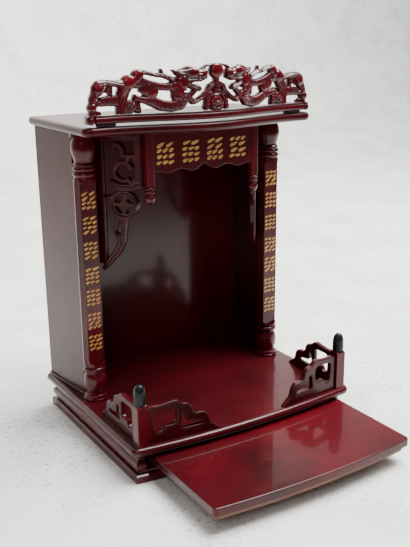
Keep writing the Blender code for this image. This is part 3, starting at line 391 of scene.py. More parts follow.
def cutAway(piece, cutters, angle=30.0):
    # cuts, bakes the result into the mesh and shades it again
    material = piece.data.materials[0]
    piece.modifiers.clear()
    tools = [solidObject("cutter", *shape) for shape in cutters]
    for tool in tools:
        modifier = piece.modifiers.new("cut", "BOOLEAN")
        modifier.operation, modifier.solver, modifier.object = "DIFFERENCE", "EXACT", tool
    bpy.context.view_layer.update()
    graph = bpy.context.evaluated_depsgraph_get()
    cut = bpy.data.meshes.new_from_object(piece.evaluated_get(graph))
    piece.modifiers.clear()
    piece.data = cut
    dress(piece, material, angle)
    for tool in tools:
        bpy.data.objects.remove(tool)


def softLine(knots, count):
    # smooth line through knots, as points spread by length
    knots = np.array(knots, float)
    far = np.concatenate([[0], np.cumsum(np.linalg.norm(np.diff(knots, axis=0), axis=1))])
    runs = [0, *range(len(knots) - 1)]
    tangents = np.diff(knots, axis=0)[runs] / np.diff(far)[runs, None]
    tangents[1:-1] = (knots[2:] - knots[:-2]) / (far[2:] - far[:-2])[:, None]
    found = []
    for s in np.linspace(0, far[-1], count):
        k = min(int(np.searchsorted(far, s, side="right")) - 1, len(knots) - 2)
        h = far[k + 1] - far[k]
        t = (s - far[k]) / h
        a, b, c, d = 2 * t**3 - 3 * t**2 + 1, t**3 - 2 * t**2 + t, -2 * t**3 + 3 * t**2, t**3 - t**2
        found.append(a * knots[k] + b * h * tangents[k] + c * knots[k + 1] + d * h * tangents[k + 1])
    return np.array(found)


def bell(x, reach):
    return 0.5 * (1 + np.cos(np.pi * np.clip(np.abs(x) / reach, 0, 1)))


def arc(cx, cy, radius, start, end, count):
    angles = np.radians(np.linspace(start, end, count))
    return [(cx + radius * math.cos(a), cy + radius * math.sin(a)) for a in angles]


def circle(cx, cy, radius, segments, shift=0.0):
    turn = 360 / segments
    return arc(cx, cy, radius, shift * turn, 360 + (shift - 1) * turn, segments)


def planLine(half, back, front, frontRadius, backRadius, steps, cornerSteps=9):
    # outline of a board from its right back corner round; the front edge is the same left and right
    edge = half - frontRadius
    turnY = float(front(edge)) + frontRadius
    points = arc(half - backRadius, back - backRadius, backRadius, 0, 90, 5)
    points += arc(-half + backRadius, back - backRadius, backRadius, 90, 180, 5)
    points += arc(-edge, turnY, frontRadius, 180, 270, cornerSteps + 1)
    points += [(x, float(front(x))) for x in np.linspace(-edge, edge, steps + 1)[1:-1]]
    points += arc(edge, turnY, frontRadius, 270, 360, cornerSteps + 1)
    return np.array(points)


def insetLine(outline, distance):
    along = np.roll(outline, -1, axis=0) - np.roll(outline, 1, axis=0)
    along /= np.linalg.norm(along, axis=1)[:, None]
    return outline + distance * np.stack([-along[:, 1], along[:, 0]], axis=1)


def boardShape(outline, low, profile, lip=0.0016):
    # the outer rings of both broad faces lie flat, so that the faces keep their mirror plane
    steps = [(profile[0][0] + lip, profile[0][1]), *profile, (profile[-1][0] + lip, profile[-1][1])]
    return loft([[(x, y + shiftY, low + rise) for x, y in insetLine(outline, max(inset, 0.0))]
                 for inset, rise in steps])


# boards
deckSizes = {"halfWidth": 0.1735, "back": 0.119, "frontCorner": 0.1665, "bow": 0.012, "thickness": 0.0117,
             "cornerRadius": 0.011, "backRadius": 0.004}
topSizes = {"halfWidth": 0.172, "back": 0.1235, "flank": 0.068, "bow": 0.026, "bowReach": 0.150,
            "thickness": 0.0116, "cornerRadius": 0.012, "backRadius": 0.004, "underside": 0.417}
traySizes = {"halfWidth": 0.149, "play": 0.0035, "frontCorner": 0.3005, "length": 0.2593, "top": 0.035,
             "lacquer": 0.0105, "wood": 0.0078, "woodInset": 0.0055, "cornerRadius": 0.006, "backRadius": 0.002}


def bowed(x, corner, halfWidth=deckSizes["halfWidth"]):
    # front edges of deck, plinth and tray share one bow
    return -(corner + deckSizes["bow"] * (1 - (x / halfWidth) ** 2))


def topFront(x):
    return -(topSizes["flank"] + topSizes["bow"] * bell(x, topSizes["bowReach"]))


def boardLine(size, front, steps):
    return planLine(size["halfWidth"], size["back"], front, size["cornerRadius"], size["backRadius"], steps)


def trayLine(inset):
    size = traySizes
    outline = planLine(size["halfWidth"] - inset, size["length"] - size["frontCorner"] - inset,
                       lambda x: bowed(x, size["frontCorner"]) + inset, size["cornerRadius"],
                       size["backRadius"], 60)
    outline[:, 0] += size["play"]
    return outline


deckNose = softLine([(0.0042, 0.0), (0.0013, 0.0018), (0.0, 0.0052), (0.0006, 0.0084), (0.0028, 0.0108),
                     (0.0066, 0.0117)], 15)
topNose = softLine([(0.0040, 0.0), (0.0012, 0.0018), (0.0, 0.0052), (0.0006, 0.0086), (0.0026, 0.0108),
                    (0.0060, 0.0116)], 15)
trayEdge = [(0.0008, 0.0), (0.0002, 0.0003), (0.0, 0.0009), (0.0, 0.0050), (0.0, 0.0093), (0.0002, 0.0098),
            (0.0006, 0.0102), (0.0014, 0.0105)]
woodEdge = [(0.0006, 0.0), (0.0, 0.0006), (0.0, 0.0040), (0.0, traySizes["wood"] - gap)]
deckLine = boardLine(deckSizes, lambda x: bowed(x, deckSizes["frontCorner"]), 60)
trayLow = traySizes["top"] - traySizes["lacquer"]
makePiece("deckBoard", boardShape(deckLine, deckTop - deckSizes["thickness"], deckNose), lacquers["shelf"],
          "deck")
makePiece("topBoard", boardShape(boardLine(topSizes, topFront, 90), topSizes["underside"], topNose),
          lacquers["board"], "top_board")
makePiece("trayBoard", boardShape(trayLine(0.0), trayLow, trayEdge), lacquers["tray"], "tray", body="tray")
makePiece("trayWoodLayer", boardShape(trayLine(traySizes["woodInset"]), trayLow - traySizes["wood"], woodEdge),
          bareWood, "tray_wood", "raw_wood", "tray")
print("boards built")

# plinth
plinthSizes = {"halfWidth": 0.168, "back": 0.1155, "frontCorner": 0.1605, "innerHalf": 0.1535,
               "innerBack": 0.098, "innerFront": 0.146, "slotBottom": 0.0162}
plinthKnots = [(0.0006, 0.0), (0.0, 0.0008), (0.0, 0.0095), (0.0018, 0.0110), (0.0058, 0.0114),
               (0.0062, 0.0134), (0.0038, 0.0148), (0.0022, 0.0180), (0.0018, 0.0220), (0.0030, 0.0258),
               (0.0058, 0.0282), (0.0066, 0.0312), (0.0078, 0.0320), (0.0078, 0.0380)]
# straight runs keep their corners, the ogee and the cove between them are smoothed
plinthProfile = [*plinthKnots[:4], *softLine(plinthKnots[3:7], 9)[1:], *softLine(plinthKnots[6:12], 17)[1:],
                 *plinthKnots[12:]]


def plinthPieces():
    size, half = plinthSizes, gap / 2
    w, wi = size["halfWidth"], size["innerHalf"]

    def rail(label, count, outer, inner):
        # outer and inner give the plan of both faces, from one mitred end at -1 to the other at 1
        rings = []
        for t in np.linspace(-1, 1, count):
            ring = [(*outer(t, inset), z) for inset, z in plinthProfile]
            ring += [(*inner(t), plinthProfile[k][1]) for k in (-1, 0)]
            rings.append([(x, y + shiftY, z) for x, y, z in ring])
        return makePiece("plinthRail" + label, loft(rings, True), lacquers["mould"],
                         "plinth_" + label.lower(), "lacquer_dark", angle=38.0)

    def between(t, front, back):
        return (front * (1 - t) + back * (1 + t)) / 2

    for label, sign in sides:
        rail(label, 7,
             lambda t, i: (sign * (w - i), between(t, i + half - size["frontCorner"], size["back"] - i - half)),
             lambda t: (sign * wi, between(t, half - size["innerFront"], size["innerBack"] - half)))
    rail("Back", 9, lambda t, i: (t * (w - i - half), size["back"] - i),
         lambda t: (t * (wi - half), size["innerBack"]))
    front = rail("Front", 41, lambda t, i: (t * (w - i - half), bowed(t * w, size["frontCorner"], w) + i),
                 lambda t: (t * (wi - half), bowed(t * w, size["innerFront"], w)))
    # the slot for the tray leaves a low sill between the two corner blocks
    slot = [[(x, y + shiftY, z) for x, y in ((-wi, 0), (-wi, -0.25), (wi, -0.25), (wi, 0))]
            for z in (size["slotBottom"], 0.06)]
    cutAway(front, [loft(slot)])


plinthPieces()
print("plinth built")

# walls
wallSizes = {"thickness": 0.010, "backX": 0.167, "frontX": 0.1556, "backY": 0.114, "frontY": 0.0162,
             "footHeight": 0.003, "footReach": 0.0028, "backFace": 0.1015, "backThickness": 0.008,
             "soft": 0.0007, "backSoft": 0.0003}


def roundedPlan(corners, radius, steps=4):
    # plan outline with each corner turned over a small radius
    points = []
    for k, corner in enumerate(corners):
        here = np.array(corner)
        before, after = np.array(corners[k - 1]) - here, np.array(corners[(k + 1) % len(corners)]) - here
        before /= np.linalg.norm(before)
        after /= np.linalg.norm(after)
        pull = radius / math.tan(0.5 * math.acos(float(np.clip(before @ after, -1, 1))))
        start, end = here + before * pull, here + after * pull
        for t in np.linspace(0, 1, steps + 1):
            points.append(tuple((1 - t) ** 2 * start + 2 * t * (1 - t) * here + t * t * end))
    return points


def wallPiece(name, plans, kind, node):
    # plans are outlines with the same number of points, each at its own height
    rings = [[(x, y + shiftY, z) for x, y in outline] for outline, z in plans]
    makePiece(name, loft(rings), lacquers[kind], node, "lacquer_dark", angle=40.0)


def sideWall(label, sign):
    size = wallSizes
    front, back = np.array([size["frontX"], size["frontY"]]), np.array([size["backX"], size["backY"]])
    run = (back - front) / np.linalg.norm(back - front)
    out = np.array([run[1], -run[0]])
    inner = size["thickness"] * out

    def outline(reach):
        corners = [front - inner, front + reach * out, back + reach * out, back - inner]
        return [(sign * x, y) for x, y in roundedPlan(corners, size["soft"])]

    foot, wide = shelfLow + size["footHeight"], size["footReach"]
    steps = [(wide - 0.0003, shelfLow), (wide, shelfLow + 0.0003), (wide, foot - 0.0008),
             (wide - 0.0003, foot - 0.0003), (wide - 0.0009, foot), (0.0004, foot), (0.0, foot + 0.0004),
             (0.0, 0.18), (0.0, 0.30), (0.0, shelfHigh)]
    wallPiece("sideWall" + label, [(outline(reach), z) for reach, z in steps], "panel",
              "panel_" + label.lower())


def backWall():
    size = wallSizes
    slope = (size["backX"] - size["frontX"]) / (size["backY"] - size["frontY"])
    shift = size["thickness"] * math.hypot(1, slope) + gap
    near, far = size["backFace"], size["backFace"] + size["backThickness"]
    nearX, farX = (size["frontX"] + slope * (y - size["frontY"]) - shift for y in (near, far))
    outline = roundedPlan([(nearX, near), (farX, far), (-farX, far), (-nearX, near)], size["backSoft"], 2)
    heights = (shelfLow, 0.15, 0.25, 0.35, shelfHigh)
    wallPiece("backWall", [(outline, z) for z in heights], "inner", "panel_back")


for label, sign in sides:
    sideWall(label, sign)
backWall()
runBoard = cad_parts["base_board"]
runBoard.data.materials.clear()
runBoard.data.materials.append(bareWood)
print("walls built")

# columns; their foot, bulb and rings stand on the deck, head and cap are at full height
columnSizes = {"x": 0.146, "shaft": 0.0152, "shaftLow": 0.0985, "shaftHigh": 0.3600, "abacus": 0.0170,
               "segments": 72, "flatEnd": 0.0015, "shoulder": 0.0016, "cutReach": 0.03}
# turn in degrees, depth, half width and rise of each flat
columnFlats = [(0, 0.0085, 0.0128, 0.0105), (66, 0.0138, 0.0060, 0.0080), (-66, 0.0138, 0.0060, 0.0080)]
columnFoot = [(0.0165, 0.0), (0.0172, 0.0008), (0.0172, 0.0025), (0.0160, 0.0031), (0.0164, 0.0049),
              (0.0158, 0.0069), (0.0132, 0.0081)]
columnBulb = [(0.0132, 0.0081), (0.0134, 0.0107), (0.0149, 0.0160), (0.0158, 0.0217), (0.0159, 0.0260),
              (0.0156, 0.0300), (0.0146, 0.0350), (0.0132, 0.0389), (0.0133, 0.0402)]
columnRings = [(0.0133, 0.0402), (0.0152, 0.0417), (0.0157, 0.0442), (0.0152, 0.0465), (0.0138, 0.0478)]
columnHead = [(0.0140, 0.3600), (0.0152, 0.3618), (0.0157, 0.3640), (0.0148, 0.3660), (0.0136, 0.3672),
              (0.0150, 0.3684), (0.0157, 0.3706), (0.0148, 0.3728), (0.0134, 0.3740), (0.0148, 0.3756),
              (0.0143, 0.3768), (0.0126, 0.3784), (0.0128, 0.3810), (0.0146, 0.3870), (0.0160, 0.3930),
              (0.0162, 0.3975), (0.0156, 0.4030), (0.0138, 0.4090)]


def columnProfile():
    shaft, low, high = (columnSizes[key] for key in ("shaft", "shaftLow", "shaftHigh"))
    foot = [*columnFoot, *softLine(columnBulb, 22)[1:], *softLine(columnRings, 15)[1:]]
    line = [(radius, z + shelfLow) for radius, z in foot]
    line += [(0.0140, low + 0.0002), (0.0149, low + 0.0016), (shaft, low + 0.004)]
    line += [(shaft, z) for z in np.linspace(0.115, 0.345, 10)]
    line += [(shaft, high - 0.004), (0.0149, high - 0.0016), *softLine(columnHead, 60)]
    return line + [(0.0138, 0.4104), (columnSizes["abacus"], 0.4110), (columnSizes["abacus"], shelfHigh)]


def archLine(halfWidth, rise, bottom, top, shoulder):
    # the flat ends in an arch with small stepped shoulders
    points = []
    for side, end in ((1, top), (-1, bottom)):
        for turn in np.linspace(0, math.pi, 25):
            x, up = math.cos(turn), math.sin(turn)
            step = shoulder * max(0.0, math.cos(3 * (turn - math.pi / 2))) if abs(x) < 0.87 else 0.0
            points.append((side * halfWidth * x, end - side * (rise - (rise - shoulder) * up - step)))
    return points


def flatCutter(sign, turn, depth, halfWidth, rise):
    size, angle = columnSizes, math.radians(turn)
    outline = archLine(halfWidth, rise, size["shaftLow"] + size["flatEnd"], size["shaftHigh"] - size["flatEnd"],
                       size["shoulder"])
    cosine, sine = math.cos(angle), math.sin(angle)
    return loft([[(sign * (size["x"] + sine * out + cosine * across), shiftY + sine * across - cosine * out, z)
                  for across, z in outline] for out in (depth, size["cutReach"])])


def turnedShape(profile, cx, cy, segments):
    return loft([[(x, y, z) for x, y in circle(cx, cy, radius, segments, 0.5)] for radius, z in profile])


for label, sign in sides:
    shape = turnedShape(columnProfile(), sign * columnSizes["x"], shiftY, columnSizes["segments"])
    column = makePiece("column" + label, shape, lacquers["turned"], "column_" + label.lower(), angle=40.0)
    cutAway(column, [flatCutter(sign, *flat) for flat in columnFlats])
print("columns built")

# header and pendants
headerSizes = {"pendantX": 0.0805, "pendantY": 0.054, "side": 0.0108, "bottom": 0.325, "squareBottom": 0.348,
               "thickness": 0.008, "edge": 0.3655, "round": 0.0012, "soft": 0.0009, "steps": 180,
               "wave": 0.0026, "wavePitch": 0.036, "lobe": 0.0030, "lobeReach": 0.014, "segments": 48}
pendantBall = [(0.0008, 0.0), (0.0034, 0.0006), (0.0056, 0.0028), (0.0068, 0.0064), (0.0066, 0.0100),
               (0.0047, 0.0130)]
pendantRings = [(0.0047, 0.0130), (0.0064, 0.0144), (0.0068, 0.0158), (0.0062, 0.0172), (0.0049, 0.0180),
                (0.0064, 0.0192), (0.0068, 0.0205), (0.0062, 0.0218), (0.0048, 0.0227)]


def headerPiece():
    size = headerSizes
    half = size["pendantX"] - size["side"] / 2 - gap
    front, back = (-size["pendantY"] + side * size["thickness"] / 2 for side in (-1, 1))
    corner = arc(size["round"], size["round"], size["round"], 180, 270, 7)
    rings = []
    for x in np.linspace(-half, half, size["steps"] + 1):
        far = abs(x) / half
        edge = size["edge"] + size["wave"] * math.cos(2 * math.pi * x / size["wavePitch"]) * (1 - 0.35 * far)
        edge += size["lobe"] * float(bell(x, size["lobeReach"])) - size["round"] * far**2
        ring = [(front, shelfHigh), (front, shelfHigh - 0.02), (front, edge + 0.006)]
        ring += [(front + d, edge + u) for d, u in corner]
        ring += [(back - 0.0005, edge), (back, edge + 0.0005), (back, shelfHigh)]
        rings.append([(x, y + shiftY, z) for y, z in ring])
    makePiece("headerBoard", loft(rings, True), lacquers["header"], "valance")


def pendantPiece(label, sign):
    size, low = headerSizes, headerSizes["squareBottom"]
    cx, cy = sign * size["pendantX"], -size["pendantY"] + shiftY
    profile = [*softLine(pendantBall, 16), *softLine(pendantRings, 26)[1:]]
    rings = [[(x, y, size["bottom"] + rise) for x, y in circle(cx, cy, radius, size["segments"])]
             for radius, rise in profile]
    for z, half in ((low, size["side"] / 2 - 0.0005), (low + 0.0006, size["side"] / 2),
                    (low + 0.03, size["side"] / 2), (shelfHigh, size["side"] / 2)):
        ring = []
        for x, y in circle(0, 0, 1, size["segments"]):
            reach = half / max(abs(x), abs(y))
            x, y = reach * x, reach * y
            over = max(abs(x) + abs(y) - (size["side"] - size["soft"]), 0) / 2
            ring.append((cx + x - math.copysign(over, x), cy + y - math.copysign(over, y), z))
        rings.append(ring)
    makePiece("pendant" + label, loft(rings), lacquers["turned"], "pendant_" + label.lower(), angle=34.0)


headerPiece()
for label, sign in sides:
    pendantPiece(label, sign)
print("header built")


# flat shapes as distances in millimetres, below zero inside the wood
def strokeParts(x, z, path):
    # distance to a tapering stroke, how far across it a point lies, and how far along
    best, across, along = np.full(x.shape, 1e3), np.full(x.shape, 9.0), np.zeros(x.shape)
    far = 0.0
    for (ax, az, ar), (bx, bz, br) in zip(path, path[1:]):
        dx, dz = bx - ax, bz - az
        length = max(dx**2 + dz**2, 1e-9)
        t = np.clip(((x - ax) * dx + (z - az) * dz) / length, 0, 1)
        radius = ar + t * (br - ar)
        away = np.hypot(x - ax - t * dx, z - az - t * dz)
        side = np.where(dx * (z - az) - dz * (x - ax) < 0, -1.0, 1.0)
        closer = away - radius < best
        best = np.where(closer, away - radius, best)
        across = np.where(closer, side * away / radius, across)
        along = np.where(closer, far + t * math.sqrt(length), along)
        far += math.sqrt(length)
    return best, across, along


def stroke(x, z, path):
    return strokeParts(x, z, path)[0]


def disc(x, z, cx, cz, radius):
    return np.hypot(x - cx, z - cz) - radius


def slab(x, z, left, right, low, high, radius=0.0):
    dx = np.maximum(left + radius - x, x - right + radius)
    dz = np.maximum(low + radius - z, z - high + radius)
    outside = np.hypot(np.maximum(dx, 0), np.maximum(dz, 0))
    return outside + np.minimum(np.maximum(dx, dz), 0) - radius


def blendShapes(a, b, softness):
    h = np.clip(0.5 + 0.5 * (b - a) / softness, 0, 1)
    return b + (a - b) * h - softness * h * (1 - h)


def groove(distance, centre, width):
    return np.exp(-(((distance - centre) / width) ** 2))


def rounding(depth, radius):
    # quarter round from the rim inwards: zero at the rim, one beyond the radius
    t = np.clip(depth / radius, 0, 1)
    return np.sqrt(np.clip(1 - (1 - t) ** 2, 0, 1))


def outlineCells(shape, bounds, cell):
    # marches over a grid; returns the points, the faces of one sheet and the rim edges
    left, right, low, high = bounds
    xs = np.arange(left - 2 * cell, right + 2.5 * cell, cell)
    zs = np.arange(low - 2 * cell, high + 2.5 * cell, cell)
    gridX, gridZ = np.meshgrid(xs, zs)
    field = shape(gridX, gridZ)
    field[0, :] = field[-1, :] = field[:, 0] = field[:, -1] = 1.0
    tiny = 0.02 * cell
    field = np.where(np.abs(field) < tiny, np.where(field < 0, -tiny, tiny), field)
    inside = field < 0
    rows, cols = field.shape
    count = int(inside.sum())
    nodeIndex = np.full(field.shape, -1)
    nodeIndex[inside] = np.arange(count)
    spotX, spotZ, edgeIndex = [gridX[inside]], [gridZ[inside]], []
    for upright in (0, 1):
        a, b = (field[:-1, :], field[1:, :]) if upright else (field[:, :-1], field[:, 1:])
        mixed = (a < 0) != (b < 0)
        r, c = np.nonzero(mixed)
        t = np.clip(a / np.where(mixed, a - b, 1.0), 0.08, 0.92)[mixed]
        spotX.append(xs[c] + (1 - upright) * t * cell)
        spotZ.append(zs[r] + upright * t * cell)
        index = np.full(mixed.shape, -1)
        index[mixed] = count + np.arange(len(r))
        count += len(r)
        edgeIndex.append(index)
    corners = [(0, 0), (0, 1), (1, 1), (1, 0)]
    code = sum(inside[r : rows - 1 + r, c : cols - 1 + c].astype(int) << k for k, (r, c) in enumerate(corners))
    edges = [(0, 0, 0), (1, 0, 1), (0, 1, 0), (1, 0, 0)]  # upright, row step, column step
    polygons, rims = [], []
    for value in range(1, 16):
        r, c = np.nonzero(code == value)
        if not len(r):
            continue
        walk = []
        for k in range(4):
            here, after = value >> k & 1, value >> (k + 1) % 4 & 1
            if here:
                walk.append(("node", k))
            if here != after:
                walk.append(("out" if here else "in", k))
        loops = [walk]
        if value in (5, 10):
            start = [kind for kind, _ in walk].index("in")
            walk = walk[start:] + walk[:start]
            loops = [walk[:3], walk[3:]]
        for loop in loops:
            columns = []
            for kind, k in loop:
                if kind == "node":
                    columns.append(nodeIndex[r + corners[k][0], c + corners[k][1]])
                else:
                    upright, dr, dc = edges[k]
                    columns.append(edgeIndex[upright][r + dr, c + dc])
            table = np.stack(columns, axis=1)
            polygons += table.tolist()
            for i, (kind, _) in enumerate(loop):
                if kind == "out":
                    rims += table[:, [i, (i + 1) % len(loop)]].tolist()
    return np.concatenate(spotX), np.concatenate(spotZ), polygons, rims


def carvedPiece(name, shape, bounds, cell, place, front, back, kind, node, slotName, hollow):
    # two relief sheets over the same outline, joined by walls
    px, pz, polygons, rims = outlineCells(shape, bounds, cell)
    count = len(px)
    points = [place(x, d, z) for sheet in (front, back) for x, d, z in zip(px, sheet(px, pz), pz)]
    faces = []
    for loop in polygons:
        faces += [tuple(loop), tuple(k + count for k in loop[::-1])]
    faces += [(a, a + count, b + count, b) for a, b in rims]
    piece = makePiece(name, (points, faces), lacquers[kind], node, slotName, angle=50.0, weighted=False)
    # painted shade: the carver's recesses are darkened, on the front sheet only
    mesh = piece.data
    if len(mesh.vertices) == 2 * count:
        values = np.zeros(2 * count, np.float32)
        mesh.attributes["hollowShadeMask"].data.foreach_get("value", values)
        values[:count] = np.clip(values[:count] + hollow(px, pz), 0, 1)
        mesh.attributes["hollowShadeMask"].data.foreach_set("value", values)


# brackets; each passes close behind its column and ends on the back of the pendant
bracketSizes = {"thickness": 0.008, "railDepth": 10.4, "stile": 15.3, "stileLow": 240, "play": 0.0004,
                "coin": (50.5, 323.2), "coinRadius": 18.3, "coinOpening": 12.4, "coinGroove": 15.2, "boss": 6.4,
                "cell": 0.55, "round": 1.5, "start": 9.3, "end": 77.47, "innerLeft": 67.5, "innerLow": 347,
                "bounds": (9.3, 77.47, 229, shelfHigh * 1000), "settle": 62}
bracketSpan = math.hypot(columnSizes["x"] - headerSizes["pendantX"], headerSizes["pendantY"])
bracketReach = columnSizes["abacus"] + bracketSizes["thickness"] / 2 + bracketSizes["play"]
bracketTurn = math.atan2(headerSizes["pendantY"], columnSizes["x"] - headerSizes["pendantX"])
bracketTurn += math.asin(bracketReach / bracketSpan)
bracketLength = math.sqrt(bracketSpan**2 - bracketReach**2)
bracketStretch = bracketLength - (headerSizes["side"] / 2 + gap * 1.4) / math.sin(bracketTurn)
bracketStretch /= bracketSizes["end"] - bracketSizes["start"]
bracketTop = shelfHigh * 1000
bracketStrokes = {
    "hook": [(70, 386.5, 2.6), (50.5, 386.5, 2.6), (50.5, 395, 2.6), (47.5, 399.5, 2.4), (42, 401, 2.2),
             (38, 397.5, 2.0)],
    "scroll": [(x, z, 2.5) for x, z in arc(51, 366, 12, 28, 300, 14)],
    "curl": [(x, z, 2.4) for x, z in arc(61.5, 357.5, 4.6, 190, 340, 14)] + [(70, 357, 2.6)],
    "knob": [(59.8, 371.5, 3.6), (59.8, 371.5, 3.6)],
    "tie": [(55, 377, 2.4), (57, 386, 2.4)],
    "sill": [(34.5, 352.5, 2.2), (45, 345.5, 4.2), (60, 345.5, 4.8), (73, 350, 4.6)],
    "web": [(22, 333, 2.0), (29.5, 330.5, 2.0), (36, 333, 2.4)],
    "leaf": [(45.5, 299.5, 8.2), (43.5, 287, 8.6), (45.5, 272, 5.2), (39, 258, 4.6), (29, 246, 4.2),
             (20.5, 234, 3.0)],
    "neck": [(50, 312, 8.5), (47, 300, 7.0)],
    "tear": [(43.5, 298.5, 2.4), (42.3, 287, 4.2)],
}


def bracketRail(u, z):
    size = bracketSizes
    return slab(u, z, size["start"], size["end"], bracketTop - size["railDepth"], bracketTop)


def bracketShape(u, z):
    size, paths = bracketSizes, bracketStrokes
    start, end, (cx, cz) = size["start"], size["end"], size["coin"]
    stile = slab(u, z, start, start + size["stile"], size["stileLow"], bracketTop)
    inner = slab(u, z, size["innerLeft"], end, size["innerLow"], bracketTop)
    wood = np.minimum(np.minimum(bracketRail(u, z), stile), inner)
    for name in ("hook", "scroll", "curl", "knob", "tie"):
        wood = np.minimum(wood, stroke(u, z, paths[name]))
    coin = disc(u, z, cx, cz, size["coinRadius"])
    wood = blendShapes(wood, np.minimum(stroke(u, z, paths["sill"]), coin), 1.5)
    for name in ("web", "leaf", "neck"):
        wood = np.minimum(wood, stroke(u, z, paths[name]))
    boss = disc(u, z, cx, cz, size["boss"])
    for x, y in arc(cx, cz, size["coinOpening"] + 1, 0, 270, 4):
        boss = np.minimum(boss, stroke(u, z, [(cx, cz, 2.4), (x, y, 3.4)]))
    wood = np.maximum(wood, -np.maximum(disc(u, z, cx, cz, size["coinOpening"]), -boss))
    wood = np.maximum(wood, -stroke(u, z, paths["tear"]))
    return np.maximum(wood, np.maximum(np.maximum(start - u, u - end), z - bracketTop))


def bracketRelief(u, z):
    # raised rim round the coin, veins on the leaf and soft shoulders everywhere
    size, paths = bracketSizes, bracketStrokes
    depth = 0.9 * (1 - rounding(-bracketShape(u, z), size["round"]))
    away = disc(u, z, *size["coin"], 0)
    depth += 0.7 * groove(away, size["coinGroove"], 0.7) * (away < size["coinRadius"])
    near, across, _ = strokeParts(u, z, paths["leaf"])
    depth += np.where(near < -0.8, 0.5 * groove(across, 0, 0.14) * (z < 279), 0)
    depth += 0.6 * groove(stroke(u, z, paths["tear"]), 1.6, 0.45)
    for name in ("hook", "scroll", "curl"):
        near, across, _ = strokeParts(u, z, paths[name])
        depth -= 0.5 * np.where(near < 0, np.sqrt(np.clip(1 - across**2, 0, 1)), 0)
    near, across, _ = strokeParts(u, z, paths["sill"])
    depth += np.where(near < -0.6, 0.4 * groove(across, 0.45, 0.12), 0)
    rail = bracketRail(u, z)
    depth += np.where(rail < 0, 0.6 * groove(rail, -2.4, 0.45), 0)
    return np.clip(depth, 0, 3.0) / 1000


def bracketPiece(label, sign):
    size = bracketSizes
    cosine, sine, half = math.cos(bracketTurn), math.sin(bracketTurn), size["thickness"] / 2

    def place(u, w, z):
        settle = min(max((u - size["settle"]) / (size["end"] - size["settle"]), 0), 1)
        left = bracketLength - (u - size["start"]) * bracketStretch - w / math.tan(bracketTurn) * settle
        x = headerSizes["pendantX"] + left * cosine - w * sine
        return (sign * x, left * sine + w * cosine - headerSizes["pendantY"] + shiftY, z / 1000)

    # the last argument gives the painted shade in the deeper parts of the relief
    carvedPiece("bracket" + label, bracketShape, size["bounds"], size["cell"], place,
                lambda u, z: bracketRelief(u, z) - half,
                lambda u, z: half - 0.0009 * (1 - rounding(-bracketShape(u, z), 1.2)),
                "carved", "bracket_" + label.lower(), "lacquer_dark",
                lambda u, z: np.clip(bracketRelief(u, z) * 900 - 0.25, 0, 0.8))


for label, sign in sides:
    bracketPiece(label, sign)
print("brackets built")

# corner fences
fenceSizes = {"postX": 0.1573, "postY": 0.1559, "postSide": 0.015, "postHeight": 0.0545, "postSoft": 0.0008,
              "finialRadius": 0.0077, "finialHeight": 0.0255, "finialStraight": 0.0125, "wingThickness": 0.007,
              "wingRun": 0.101, "wingSkew": 0.0115, "cell": 0.5, "round": 1.3, "bounds": (7.5, 108, 0, 51.5)}
wingLine = softLine([
    (0, 46.5), (8, 47.5), (14, 49.5), (24, 49.2), (34, 50.2), (42, 51.3), (48, 51.2), (52, 48.6), (55.5, 45.4),
    (60, 44.6), (64.5, 42.6), (67.5, 38.2), (69.5, 32), (73, 29), (79, 28.4), (85, 27.4), (89, 23.8),
    (91.2, 18.5), (93, 12), (97, 8.2), (102, 4.6), (106, 1.6), (108, 0),
], 160)


def wingHoles(d, z):
    first = np.minimum(slab(d, z, 17.5, 47.5, 19.5, 42.0, 6.0), disc(d, z, 24.2, 19.2, 6.0))
    second = blendShapes(stroke(d, z, [(57.2, 16.0, 4.2), (57.2, 28.5, 3.2)]),
                         stroke(d, z, [(57.2, 15.6, 4.2), (66.0, 15.2, 3.9), (80.5, 14.2, 2.6)]), 1.5)
    return np.minimum(first, second)


def wingShape(d, z):
    run, rise = wingLine[:, 0], wingLine[:, 1]
    slope = np.interp(d, run, np.gradient(rise, run + 1e-6 * np.arange(len(run))))
    wood = (z - np.interp(d, run, rise)) / np.sqrt(1 + np.clip(slope, -6, 6) ** 2)
    for limit in (-z, fenceSizes["postSide"] * 500 + gap * 1000 - d, d - run[-1], -wingHoles(d, z)):
        wood = np.maximum(wood, limit)
    return wood


def wingRelief(d, z):
    depth = 0.8 * (1 - rounding(-wingShape(d, z), fenceSizes["round"]))
    return (depth + 0.35 * groove(wingHoles(d, z), 2.2, 0.55) * (z > 4.5)) / 1000


def wingPiece(name, node, sign, onSide):
    size, half = fenceSizes, fenceSizes["wingThickness"] / 2
    start = np.array([sign * size["postX"], -size["postY"]])
    along, normal = np.array([0.0, 1.0]), np.array([float(sign), 0.0])
    if not onSide:
        along = np.array([-sign * size["wingRun"], -size["wingSkew"]])
        along /= np.linalg.norm(along)
        normal = sign * np.array([-along[1], along[0]])
    limit = size["postX"] - size["postSide"] / 2 - gap

    def place(d, w, z):
        x, y = start + along * d / 1000 + normal * w
        return (x if onSide else sign * min(sign * x, limit), y + shiftY, shelfLow + z / 1000)

    # the last argument gives the painted shade in the deeper parts of the relief
    carvedPiece(name, wingShape, size["bounds"], size["cell"], place, lambda d, z: half - wingRelief(d, z),
                lambda d, z: wingRelief(d, z) - half, "carved", node, "lacquer_dark",
                lambda d, z: np.clip(wingRelief(d, z) * 900 - 0.3, 0, 0.6))


